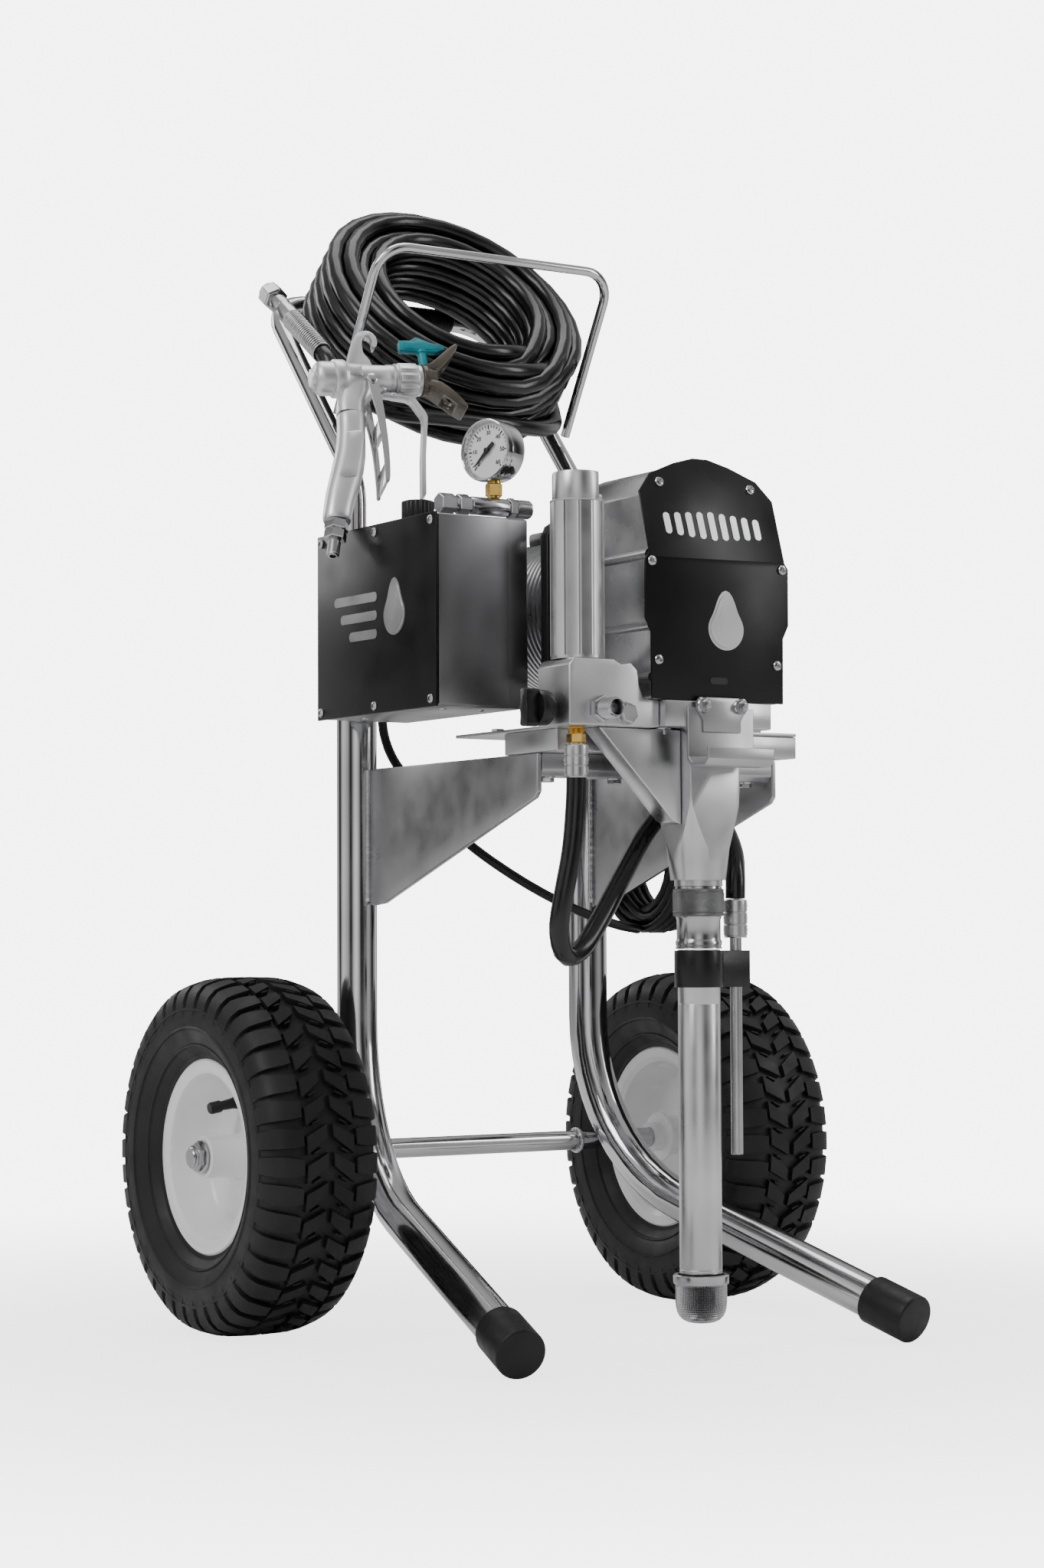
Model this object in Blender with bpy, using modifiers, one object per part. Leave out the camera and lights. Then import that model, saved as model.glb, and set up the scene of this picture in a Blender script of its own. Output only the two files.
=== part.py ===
"""Airless paint sprayer on a two-wheeled cart, in metres, +Z up, front towards -Y."""

from math import atan2, cos, pi, radians, sin, sqrt, tan

import bmesh
import bpy
from mathutils import Matrix, Vector

# ---- driving dimensions -------------------------------------------------------------------------
AXLE_Y = 0.1175            # the axle's place, so that the whole object is centred on the origin
GAP = 0.0003               # kept between pieces that touch

TYRE_RADIUS = 0.165        # a 13 x 5.00-6 wheel
TYRE_HALF_WIDTH = 0.059
WHEEL_X = 0.2542
RIM_HALF_WIDTH = 0.0418
WHEEL_STEPS = 36
AXLE_RADIUS = 0.009525
AXLE_HALF_LENGTH = 0.309

POST_X = 0.1319
POST_Y = 0.006
POST_TOP_Z = 0.735
POST_RADIUS = 0.01905
LEG_CORNER_Z = 0.150
LEG_BEND_RADIUS = 0.187
FOOT_X = 0.2089
FOOT_Y = -0.403
CAP_RADIUS = 0.0223
CAP_LENGTH = 0.050
CAP_WALL = 0.003

ARM_RADIUS = 0.009525
ARM_CORNER_Z = 0.802
BAR_Y = 0.185
BAR_Z = 1.0095
HOOP_RADIUS = 0.00475

GUSSET_X = (0.125, 0.1298)
GUSSET_TOP_Z = 0.5255
GUSSET_FRONT_Y = -0.309

BOX_X = (-0.1872, -0.092)
BOX_Y = (-0.237, -0.023)
BOX_Z = (0.570, 0.741)
SHEET = 0.002

TEE_Y = -0.150
TEE_Z = 0.7635
GAUGE_AT = (-0.074, TEE_Y, 0.8155)
GAUGE_FACING = Vector((-0.954, -0.300, 0.0)).normalized()
GAUGE_RADIUS = 0.0295

PUMP_Y = -0.3665
YOKE_Z = (0.546, 0.569)
YOKE_Y = (-0.399, -0.340)
COVER_BEND_Z = 0.697
COVER_LEAN = radians(16.5)
COVER_THICK = 0.0026
COVER_Y = -0.3964
HOUSING_BACK_Y = -0.2625
CRANK_Z = 0.640
MOTOR_Z = 0.664
MOTOR_RADIUS = 0.072

FILTER_AT = (-0.125, -0.366)
RETURN_X = 0.040

GUN_AT = Vector((-0.183, -0.025, 0.893))
GUN_FORWARD = Vector((0.97, -0.23, 0.03))
GUN_UP = Vector((0.06, 0.38, 0.92))
TRIGGER_PIVOT = (0.0534, 0.0125)
TIP_STEM_AT = 0.100

HOSE_RADIUS = 0.0083
COIL_AT = Vector((0.014, 0.0834, 0.9827))
COIL_NORMAL = Vector((0.0, -0.757, 0.653)).normalized()
COIL_RADII = (0.079, 0.138)
COIL_HALF_THICK = 0.046

CORD_RADIUS = 0.0045
CORD_COIL_AT = (0.152, -0.082, 0.437)
CORD_COIL_RADII = (0.041, 0.068)
CORD_COIL_HALF_THICK = 0.018

# ---- scene --------------------------------------------------------------------------------------
for stale in list(bpy.data.objects):
    bpy.data.objects.remove(stale, do_unlink=True)

SPRAYER = bpy.data.collections.new("airless_paint_sprayer")
CUTTERS = bpy.data.collections.new("cutters")
bpy.context.scene.collection.children.link(SPRAYER)
bpy.context.scene.collection.children.link(CUTTERS)

DATUM = bpy.data.objects.new("cart_datum", None)
DATUM.location = (0.0, AXLE_Y, 0.0)
SPRAYER.objects.link(DATUM)


def finish(name, colour, roughness, metallic):
    """Make one Principled material."""
    material = bpy.data.materials.new(name)
    material.use_nodes = True
    shader = material.node_tree.nodes["Principled BSDF"]
    shader.inputs["Base Color"].default_value = (*colour, 1.0)
    shader.inputs["Roughness"].default_value = roughness
    shader.inputs["Metallic"].default_value = metallic
    return material


CHROME = finish("chrome_tube", (0.72, 0.72, 0.73), 0.12, 1.0)
BRUSHED = finish("brushed_steel", (0.62, 0.62, 0.63), 0.35, 1.0)
ALUMINIUM = finish("machined_aluminium", (0.78, 0.78, 0.79), 0.32, 1.0)
GUN_ALUMINIUM = finish("gun_aluminium", (0.80, 0.80, 0.81), 0.38, 1.0)
BRASS = finish("brass", (0.75, 0.55, 0.22), 0.25, 1.0)
RUBBER = finish("black_rubber", (0.015, 0.015, 0.016), 0.55, 0.0)
TYRE = finish("tyre_rubber", (0.022, 0.022, 0.023), 0.75, 0.0)
HOSE = finish("hose_rubber", (0.012, 0.012, 0.013), 0.30, 0.0)
BLACK = finish("black_paint", (0.018, 0.018, 0.020), 0.30, 0.2)
WHITE = finish("white_paint", (0.86, 0.86, 0.87), 0.30, 0.0)
GREY = finish("grey_sheet", (0.24, 0.24, 0.25), 0.42, 0.9)
PLASTIC = finish("black_plastic", (0.02, 0.02, 0.022), 0.40, 0.0)
BRONZE = finish("bronze_plastic", (0.13, 0.11, 0.09), 0.35, 0.3)
TEAL = finish("teal_plastic", (0.0, 0.30, 0.34), 0.40, 0.0)
NEEDLE = finish("needle_black", (0.01, 0.01, 0.01), 0.5, 0.0)


def add(obj, material, parent=DATUM, collection=SPRAYER):
    """Link an object, give it its material and hang it from its parent."""
    obj.data.materials.append(material)
    obj.parent = parent
    collection.objects.link(obj)
    return obj


def turn_to(obj, direction):
    """Turn an object so that its +Z runs along a direction."""
    obj.rotation_mode = "QUATERNION"
    obj.rotation_quaternion = Vector(direction).to_track_quat("Z", "Y")
    return obj


def smooth(obj, angle=35):
    """Shade the faces of a mesh smooth, but keep edges sharper than the angle."""
    for face in obj.data.polygons:
        face.use_smooth = True
    mesh = bmesh.new()
    mesh.from_mesh(obj.data)
    for edge in mesh.edges:
        edge.smooth = edge.calc_face_angle(pi) < radians(angle)
    mesh.to_mesh(obj.data)
    mesh.free()
    return obj


def bevel(obj, width, segments=2):
    """Round the edges of a solid."""
    rounding = obj.modifiers.new("rounded_edges", "BEVEL")
    rounding.width = width
    rounding.segments = segments
    rounding.limit_method = "ANGLE"
    rounding.angle_limit = radians(35)
    return obj


def new_box(name, low, high):
    """Make a box between two corners, with its origin at its centre."""
    low = Vector(low)
    high = Vector(high)
    data = bpy.data.meshes.new(name)
    mesh = bmesh.new()
    bmesh.ops.create_cube(mesh, size=1.0)
    bmesh.ops.scale(mesh, vec=high - low, verts=mesh.verts)
    mesh.to_mesh(data)
    mesh.free()
    obj = bpy.data.objects.new(name, data)
    obj.location = (low + high) / 2
    return obj


def new_rod(name, start, end, radius, sides=32):
    """Make a straight round bar from one point to another."""
    start = Vector(start)
    end = Vector(end)
    data = bpy.data.meshes.new(name)
    mesh = bmesh.new()
    bmesh.ops.create_cone(mesh, cap_ends=True, segments=sides, radius1=radius, radius2=radius,
                          depth=(end - start).length)
    mesh.to_mesh(data)
    mesh.free()
    obj = bpy.data.objects.new(name, data)
    obj.location = (start + end) / 2
    turn_to(obj, end - start)
    return smooth(obj)


def new_turned(name, profile, at, along, steps=36):
    """Turn a closed outline of (radius, height) points about an axis through a point.

    An outline that runs the other way round is reversed, so that its outer side runs down.
    """
    pairs = zip(profile, profile[1:] + profile[:1])
    if sum(r1 * h2 - r2 * h1 for (r1, h1), (r2, h2) in pairs) > 0.0:
        profile = profile[::-1]
    data = bpy.data.meshes.new(name)
    mesh = bmesh.new()
    corners = [mesh.verts.new((radius, 0.0, height)) for radius, height in profile]
    for first, second in zip(corners, corners[1:]):
        mesh.edges.new((first, second))
    if profile[0][0] > 0.0 or profile[-1][0] > 0.0:
        mesh.edges.new((corners[-1], corners[0]))
    mesh.to_mesh(data)
    mesh.free()
    obj = bpy.data.objects.new(name, data)
    obj.location = at
    turn_to(obj, along)
    screw = obj.modifiers.new("turned", "SCREW")
    screw.axis = "Z"
    screw.angle = 2 * pi
    screw.steps = steps
    screw.render_steps = steps
    screw.use_merge_vertices = True
    screw.merge_threshold = 0.00001
    screw.use_smooth_shade = True
    return obj


def new_tube(name, points, radius, resolution=4, radii=None):
    """Run a round tube with filled ends through points."""
    curve = bpy.data.curves.new(name, "CURVE")
    curve.dimensions = "3D"
    curve.bevel_depth = radius
    curve.bevel_resolution = resolution
    curve.use_fill_caps = True
    spline = curve.splines.new("POLY")
    spline.points.add(len(points) - 1)
    for index, (point, place) in enumerate(zip(spline.points, points)):
        point.co = (*place, 1.0)
        point.radius = radii[index] if radii else 1.0
    return bpy.data.objects.new(name, curve)


def new_plate(name, outline, thickness, at=(0, 0, 0), normal_axis="Y"):
    """Extrude a flat outline, half its thickness to each side of its plane.

    The outline's pairs are (x, z) for a plate that faces Y, (y, z) for X and (x, y) for Z.
    """
    curve = bpy.data.curves.new(name, "CURVE")
    curve.dimensions = "2D"
    curve.fill_mode = "BOTH"
    curve.extrude = thickness / 2
    spline = curve.splines.new("POLY")
    spline.points.add(len(outline) - 1)
    for point, (first, second) in zip(spline.points, outline):
        point.co = (first, second, 0.0, 1.0)
    spline.use_cyclic_u = True
    obj = bpy.data.objects.new(name, curve)
    obj.location = at
    turns = {
        "X": Matrix(((0, 0, 1), (1, 0, 0), (0, 1, 0))),
        "Y": Matrix(((1, 0, 0), (0, 0, -1), (0, 1, 0))),
        "Z": Matrix.Identity(3),
    }
    obj.rotation_mode = "QUATERNION"
    obj.rotation_quaternion = turns[normal_axis].to_quaternion()
    return obj


def as_mesh(obj):
    """Turn a curve object, or an object with modifiers, into a plain merged mesh object."""
    SPRAYER.objects.link(obj)
    bpy.context.view_layer.update()
    graph = bpy.context.evaluated_depsgraph_get()
    data = bpy.data.meshes.new_from_object(obj.evaluated_get(graph))
    mesh = bmesh.new()
    mesh.from_mesh(data)
    bmesh.ops.remove_doubles(mesh, verts=mesh.verts, dist=0.000001)
    bmesh.ops.recalc_face_normals(mesh, faces=mesh.faces)
    mesh.to_mesh(data)
    mesh.free()
    solid = bpy.data.objects.new(obj.name + "_solid", data)
    solid.matrix_world = obj.matrix_world.copy()
    name = obj.name
    bpy.data.objects.remove(obj, do_unlink=True)
    solid.name = name
    return solid


def combine(target, tool, operation):
    """Cut a tool from a target, or join it on, and keep the tool in the cutters' collection."""
    tool.parent = target.parent
    CUTTERS.objects.link(tool)
    tool.hide_render = True
    tool.display_type = "WIRE"
    step = target.modifiers.new(tool.name, "BOOLEAN")
    step.operation = operation
    step.solver = "EXACT"
    step.object = tool
    return target


def cut(target, tool):
    """Take a tool's shape out of a target."""
    return combine(target, tool, "DIFFERENCE")


def join(target, tool):
    """Add a tool's shape to a target."""
    return combine(target, tool, "UNION")


def rounded_path(corners, radii, steps=8):
    """Points along straight runs whose inner corners are replaced by arcs."""
    corners = [Vector(corner) for corner in corners]
    path = [corners[0]]
    for before, corner, after, radius in zip(corners, corners[1:], corners[2:], radii):
        back = (before - corner).normalized()
        ahead = (after - corner).normalized()
        half = back.angle(ahead) / 2
        centre = corner + (back + ahead).normalized() * (radius / sin(half))
        start = corner + back * (radius / tan(half)) - centre
        turn = start.cross(corner + ahead * (radius / tan(half)) - centre).normalized()
        sweep = pi - 2 * half
        for step in range(steps + 1):
            path.append(centre + Matrix.Rotation(sweep * step / steps, 3, turn) @ start)
    path.append(corners[-1])
    return path


def eased_path(knots, spacing):
    """Points a set distance apart along a smooth curve through hand-placed knots."""
    knots = [Vector(knot) for knot in knots]
    ends = [2 * knots[0] - knots[1], *knots, 2 * knots[-1] - knots[-2]]
    fine = []
    for a, b, c, d in zip(ends, ends[1:], ends[2:], ends[3:]):
        for step in range(24):
            t = step / 24
            fine.append(0.5 * (2 * b + (c - a) * t + (2 * a - 5 * b + 4 * c - d) * t ** 2
                               + (3 * b - a - 3 * c + d) * t ** 3))
    fine.append(knots[-1])
    total = sum((b - a).length for a, b in zip(fine, fine[1:]))
    count = max(2, round(total / spacing))
    path = [fine[0]]
    walked = 0.0
    for a, b in zip(fine, fine[1:]):
        walked += (b - a).length
        if walked >= len(path) * total / count and len(path) < count:
            path.append(b)
    path.append(fine[-1])
    return path


def fluted(radius, depth, count, points_each=4):
    """A round outline with evenly spaced flutes, as (x, y) pairs."""
    total = count * points_each
    outline = []
    for step in range(total):
        turn = 2 * pi * step / total
        reach = radius - depth * (0.5 - 0.5 * cos(count * turn))
        outline.append((reach * cos(turn), reach * sin(turn)))
    return outline


# ---- cart frame ---------------------------------------------------------------------------------
def build_frame_tube(name, side):
    """One upright with its bend and its splayed leg."""
    corner = Vector((side * POST_X, POST_Y, LEG_CORNER_Z))
    foot = foot_centre(side)
    run = (foot - corner).normalized()
    end = foot - run * (CAP_WALL + GAP)
    path = rounded_path([(side * POST_X, POST_Y, POST_TOP_Z), corner, end], [LEG_BEND_RADIUS], 12)
    return add(new_tube(name, path, POST_RADIUS, 10), CHROME)


def foot_centre(side):
    """The centre of a foot cap's front face, set so that the cap's edge just meets the floor."""
    drop = (LEG_CORNER_Z - 0.02) / Vector((FOOT_X - POST_X, FOOT_Y - POST_Y, LEG_CORNER_Z - 0.02)).length
    return Vector((side * FOOT_X, FOOT_Y, CAP_RADIUS * sqrt(1 - drop ** 2)))


def build_foot_cap(name, side):
    """A rubber cup over a leg's end."""
    foot = foot_centre(side)
    run = (foot - Vector((side * POST_X, POST_Y, LEG_CORNER_Z))).normalized()
    bore = POST_RADIUS + 0.0004
    profile = [(0.0, CAP_WALL), (bore, CAP_WALL), (bore, CAP_LENGTH), (CAP_RADIUS, CAP_LENGTH),
               (CAP_RADIUS, 0.0015), (CAP_RADIUS - 0.0015, 0.0), (0.0, 0.0)]
    return add(new_turned(name, profile, foot, -run), RUBBER)


def build_handle():
    """The handle's tube, standing on both uprights and leaning back."""
    corners = [(-POST_X, POST_Y, POST_TOP_Z + GAP), (-POST_X, POST_Y, ARM_CORNER_Z),
               (-POST_X, BAR_Y, BAR_Z), (POST_X, BAR_Y, BAR_Z), (POST_X, POST_Y, ARM_CORNER_Z),
               (POST_X, POST_Y, POST_TOP_Z + GAP)]
    path = rounded_path(corners, [0.060, 0.045, 0.045, 0.060], 8)
    add(new_tube("handle_tube", path, ARM_RADIUS, 4), CHROME)
    bore = ARM_RADIUS + 0.0003
    sleeve = [(bore, 0.080), (0.0118, 0.080), (0.0122, 0.078), (0.0122, -0.078), (0.0118, -0.080),
              (bore, -0.080)]
    add(new_turned("handle_grip", sleeve, (0.0, BAR_Y, BAR_Z), (1, 0, 0), 24), RUBBER)


def build_hose_hoop():
    """The bent rod that keeps the hose on the handle."""
    corners = [(-POST_X, 0.0425, 0.8740), (-POST_X, -0.0430, 1.0240), (POST_X, -0.0430, 1.0240),
               (POST_X, 0.0425, 0.8740)]
    path = rounded_path(corners, [0.030, 0.030], 8)
    add(new_tube("hose_hoop", path, HOOP_RADIUS, 4), CHROME)


def build_axle():
    """The axle, which is also the frame's lower cross tube."""
    ends = ((-AXLE_HALF_LENGTH, 0.0, TYRE_RADIUS), (AXLE_HALF_LENGTH, 0.0, TYRE_RADIUS))
    add(new_rod("axle", *ends, AXLE_RADIUS, 48), CHROME)


def build_gusset(name, side):
    """A welded plate in front of an upright."""
    rear = POST_Y - POST_RADIUS - 0.0006
    outline = [(rear, GUSSET_TOP_Z), (rear, 0.398), (-0.020, 0.396), (-0.042, 0.398),
               (-0.304, 0.4865), (GUSSET_FRONT_Y, 0.492), (GUSSET_FRONT_Y, GUSSET_TOP_Z)]
    middle = side * sum(GUSSET_X) / 2
    plate = new_plate(name, outline, GUSSET_X[1] - GUSSET_X[0], (middle, 0, 0), "X")
    return add(plate, BRUSHED)


def build_deck():
    """The channel, block and plate that carry the drive between the gussets."""
    front = GUSSET_FRONT_Y
    top = GUSSET_TOP_Z
    channel = [(front, top), (front, top - 0.014), (front + 0.005, top - 0.0195),
               (front + 0.034, top - 0.0195), (front + 0.039, top - 0.014), (front + 0.039, top),
               (front + 0.036, top), (front + 0.036, top - 0.0125), (front + 0.0325, top - 0.0165),
               (front + 0.0065, top - 0.0165), (front + 0.003, top - 0.0125), (front + 0.003, top)]
    add(new_plate("cross_channel", channel, 2 * (GUSSET_X[0] - GAP), (0, 0, 0), "X"), BRUSHED)
    reach = GUSSET_X[1]
    block = new_box("mount_block", (-reach, YOKE_Y[1] + GAP, top + GAP), (reach, -0.255, 0.5454))
    add(bevel(block, 0.001), ALUMINIUM)
    plate = new_box("mount_plate", (-reach, YOKE_Y[1] + GAP, 0.5457), (reach, -0.172, 0.5487))
    add(plate, ALUMINIUM)


# ---- wheels -------------------------------------------------------------------------------------
def build_wheel(side_name, side):
    """A pneumatic tyre on a dished steel rim that turns on the axle."""
    centre = (side * WHEEL_X, 0.0, TYRE_RADIUS)
    half = [(0.165, 0.0), (0.1640, 0.030), (0.157, 0.051), (0.143, 0.0575), (0.130, TYRE_HALF_WIDTH),
            (0.112, 0.056), (0.0935, 0.0415), (0.0905, 0.0365), (0.0795, 0.0350), (0.0795, 0.0290),
            (0.100, 0.0370), (0.130, 0.0500), (0.150, 0.0400), (0.1535, 0.0)]
    other = [(radius, -width) for radius, width in half[-2:0:-1]]
    add(new_turned(side_name + "_tyre", half + other, centre, (side, 0, 0), WHEEL_STEPS), TYRE)

    bore = AXLE_RADIUS + 0.00025
    edge = RIM_HALF_WIDTH
    rim = [(bore, 0.0445), (0.0195, 0.0445), (0.0200, 0.008), (0.060, 0.001), (0.0660, 0.003),
           (0.0736, 0.022), (0.0755, 0.0385), (0.085, edge), (0.090, edge), (0.090, 0.039),
           (0.0785, 0.0365), (0.077, 0.020), (0.070, 0.012), (0.070, -0.012), (0.077, -0.020),
           (0.0785, -0.0365), (0.090, -0.039), (0.090, -edge), (0.085, -edge), (0.0755, -0.0385),
           (0.0736, -0.022), (0.0660, -0.001), (0.060, -0.003), (0.0200, -0.001), (0.0195, -0.038),
           (bore, -0.038)]
    add(new_turned(side_name + "_rim", rim, centre, (side, 0, 0), WHEEL_STEPS), WHITE)


# ---- control box and gauge ----------------------------------------------------------------------
def build_control_box():
    """A folded sheet box that is open to the left, with its cover plate and pressure knob."""
    low = (BOX_X[0], BOX_Y[0], BOX_Z[0])
    high = (BOX_X[1], BOX_Y[1], BOX_Z[1])
    box = add(bevel(new_box("control_box", low, high), 0.0025), GREY)
    inner_low = (BOX_X[0] - 0.01, BOX_Y[0] + SHEET, BOX_Z[0] + SHEET)
    inner_high = (BOX_X[1] - SHEET, BOX_Y[1] - SHEET, BOX_Z[1] - SHEET)
    cut(box, new_box("control_box_inside", inner_low, inner_high))
    cover_low = (-0.1900, BOX_Y[0] - 0.001, BOX_Z[0] - 0.001)
    cover_high = (BOX_X[0] - GAP, BOX_Y[1] + 0.001, BOX_Z[1] + 0.001)
    add(new_box("control_cover", cover_low, cover_high), BLACK)
    base = BOX_Z[1] + 0.0008
    knob = new_plate("pressure_knob", fluted(0.015, 0.0012, 18), 0.020,
                     (-0.160, -0.157, base + 0.010), "Z")
    add(knob, PLASTIC)


def build_gauge():
    """The tee on the box, the brass stem, and the gauge with its needle."""
    body = [(0.0, -0.0495), (0.0100, -0.0495), (0.0100, -0.0165), (0.0085, -0.0155),
            (0.0085, 0.0255), (0.0090, 0.0260), (0.0090, 0.0495), (0.0055, 0.0495),
            (0.0055, 0.0345), (0.0, 0.0345)]
    middle = -0.0845
    add(new_turned("tee_manifold", body, (middle, TEE_Y, TEE_Z), (1, 0, 0), 24), BRUSHED)
    x, y, z = GAUGE_AT
    stem_low = TEE_Z + 0.0085 + GAP
    stem_high = z - GAUGE_RADIUS - GAP
    add(new_rod("gauge_stem", (x, y, stem_low), (x, y, stem_high), 0.0080, 6), BRASS)
    case = [(0.0, 0.008), (0.026, 0.008), (0.026, 0.014), (0.0288, 0.014), (GAUGE_RADIUS, 0.012),
            (GAUGE_RADIUS, -0.010), (0.027, -0.013), (0.0, -0.013)]
    add(new_turned("gauge_body", case, GAUGE_AT, GAUGE_FACING, 36), CHROME)
    needle = new_plate("gauge_needle", [(-0.010, -0.0016), (0.0, -0.0022), (0.0205, -0.0004),
                                        (0.0205, 0.0004), (0.0, 0.0022), (-0.010, 0.0016)],
                       0.0008, Vector(GAUGE_AT) + GAUGE_FACING * 0.0095, "Z")
    across = Vector((0, 0, 1)).cross(GAUGE_FACING).normalized()
    point = (-across * sin(radians(48)) - Vector((0, 0, 1)) * cos(radians(48))).normalized()
    third = GAUGE_FACING.cross(point)
    turn = Matrix((point, third, GAUGE_FACING)).transposed()
    needle.rotation_quaternion = turn.to_quaternion()
    add(needle, NEEDLE)


# ---- motor and gear housing ---------------------------------------------------------------------
def mirrored(half):
    """Close half an outline of (x, z) points over the centre plane."""
    return half + [(-x, z) for x, z in reversed(half) if x > 0.0]


def build_drive():
    """The motor, its flange, the gear housing, and the crank wheel behind the front cover."""
    corners = [(0.080, 0.588), (0.088, 0.596), (0.088, 0.724), (0.084, 0.733), (0.076, 0.738)]
    flange = new_plate("motor_flange", mirrored(corners), 0.012, (0, -0.256, 0), "Y")
    add(flange, BLACK)
    back = 0.180
    case = [(0.0, 0.0), (MOTOR_RADIUS - 0.003, 0.0), (MOTOR_RADIUS, 0.003), (MOTOR_RADIUS, 0.150),
            (0.066, 0.168), (0.050, back), (0.0, back)]
    at = (0.0, -0.250 + GAP, MOTOR_Z)
    add(new_turned("motor_body", case, at, (0, 1, 0), 36), ALUMINIUM)

    half = [(0.066, YOKE_Z[1] + GAP), (0.067, 0.627), (0.072, 0.640), (0.072, 0.688), (0.0685, 0.698),
            (0.0675, 0.748), (0.054, 0.765), (0.028, 0.776), (0.006, 0.782)]
    front = COVER_Y + GAP
    depth = HOUSING_BACK_Y - front
    housing = as_mesh(new_plate("gear_housing", mirrored(half), depth, (0, front + depth / 2, 0), "Y"))
    add(housing, ALUMINIUM)
    shave = new_box("gear_housing_lean", (-0.1, -0.1, 0.0), (0.1, 0.0, 0.3))
    shave.location = Vector((0, front, COVER_BEND_Z)) + Matrix.Rotation(-COVER_LEAN, 3, "X") @ Vector(
        (0, -0.05, 0.15))
    shave.rotation_euler = (-COVER_LEAN, 0, 0)
    cut(housing, shave)
    pocket = new_box("gear_housing_pocket", (-0.042, front - 0.01, 0.580), (0.042, -0.346, 0.686))
    cut(housing, pocket)
    cut(housing, new_box("gear_housing_slot", (-0.013, -0.381, 0.560), (0.013, -0.352, 0.585)))
    join(housing, new_box("gear_housing_foot", (-0.050, -0.335, 0.549), (0.050, -0.275, 0.575)))

    build_front_cover()
    wheel = [(0.0, 0.0045), (0.034, 0.0045), (0.034, -0.0035), (0.0, -0.0035)]
    add(new_turned("crank_wheel", wheel, (0, -0.3525, CRANK_Z), (0, -1, 0), 36), BRUSHED)
    add(new_rod("piston_rod", (0, PUMP_Y, 0.450), (0, PUMP_Y, 0.590), 0.0090, 32), CHROME)


def build_front_cover():
    """The black cover, a flat plate below and leaning back above."""
    half = [(0.070, YOKE_Z[1] + GAP), (0.0705, 0.627), (0.0765, 0.639), (0.0765, 0.689),
            (0.0720, COVER_BEND_Z), (0.0715, 0.750), (0.057, 0.767), (0.030, 0.778), (0.008, 0.784)]
    cover = as_mesh(new_plate("front_cover", mirrored(half), 0.0, (0, 0, 0), "Z"))
    mesh = bmesh.new()
    mesh.from_mesh(cover.data)
    bmesh.ops.bisect_plane(mesh, geom=mesh.verts[:] + mesh.edges[:] + mesh.faces[:],
                           plane_co=(0, COVER_BEND_Z, 0), plane_no=(0, 1, 0))
    for corner in mesh.verts:
        above = max(0.0, corner.co.y - COVER_BEND_Z)
        corner.co = (corner.co.x, COVER_Y + above * tan(COVER_LEAN), corner.co.y)
    bmesh.ops.recalc_face_normals(mesh, faces=mesh.faces)
    if mesh.faces[:][0].normal.y < 0:
        bmesh.ops.reverse_faces(mesh, faces=mesh.faces)
    mesh.to_mesh(cover.data)
    mesh.free()
    skin = cover.modifiers.new("sheet", "SOLIDIFY")
    skin.thickness = COVER_THICK
    skin.offset = -1.0
    skin.use_even_offset = True
    add(cover, BLACK)


# ---- pump ---------------------------------------------------------------------------------------
def build_pump():
    """The yoke with the pump's head, and what hangs below it on the pump's axis."""
    yoke = new_box("pump_yoke", (-0.057, YOKE_Y[0], YOKE_Z[0]), (0.057, YOKE_Y[1] - 0.004, YOKE_Z[1]))
    add(yoke, ALUMINIUM)
    head = new_box("pump_head", (-0.0265, -0.393, 0.436), (0.0265, YOKE_Y[1] - 0.0015, 0.552))
    join(yoke, bevel(head, 0.006, 2))
    collar = [(0.0, 0.442), (0.0250, 0.442), (0.0275, 0.430), (0.0275, 0.420), (0.0250, 0.4145),
              (0.0212, 0.4145), (0.0212, 0.4090), (0.0, 0.4090)]
    join(yoke, new_turned("pump_collar", collar, (0, PUMP_Y, 0), (0, 0, 1), 36))
    cut(yoke, new_rod("pump_bore", (0, PUMP_Y, 0.425), (0, PUMP_Y, 0.600), 0.0094, 32))

    coupling = [(0.0, 0.4087), (0.0215, 0.4087), (0.0225, 0.4070), (0.0225, 0.3840), (0.0215, 0.3820),
                (0.0193, 0.3820), (0.0193, 0.3630), (0.0200, 0.3625), (0.0200, 0.3545), (0.0, 0.3545)]
    add(new_turned("pump_coupling", coupling, (0, PUMP_Y, 0), (0, 0, 1), 36), BRUSHED)
    siphon = [(0.0160, 0.3540), (0.0186, 0.3540), (0.0186, 0.0723), (0.0160, 0.0723)]
    add(new_turned("siphon_tube", siphon, (0, PUMP_Y, 0), (0, 0, 1), 36), ALUMINIUM)
    strainer = [(0.0160, 0.0720), (0.0243, 0.0720), (0.0243, 0.0640), (0.0220, 0.0630),
                (0.0220, 0.0400), (0.0200, 0.0330), (0.0150, 0.0300), (0.0, 0.0290), (0.0, 0.0315),
                (0.0140, 0.0325), (0.0180, 0.0350), (0.0198, 0.0410), (0.0198, 0.0620),
                (0.0160, 0.0640)]
    add(new_turned("strainer", strainer, (0, PUMP_Y, 0), (0, 0, 1), 24), BRUSHED)


def build_brace():
    """The web between the fluid manifold and the pump's head."""
    outline = [(-0.112, 0.5446), (-0.0268, 0.5446), (-0.0268, 0.462), (-0.036, 0.466)]
    add(new_plate("yoke_brace", outline, 0.026, (0, PUMP_Y, 0), "Y"), ALUMINIUM)


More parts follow.
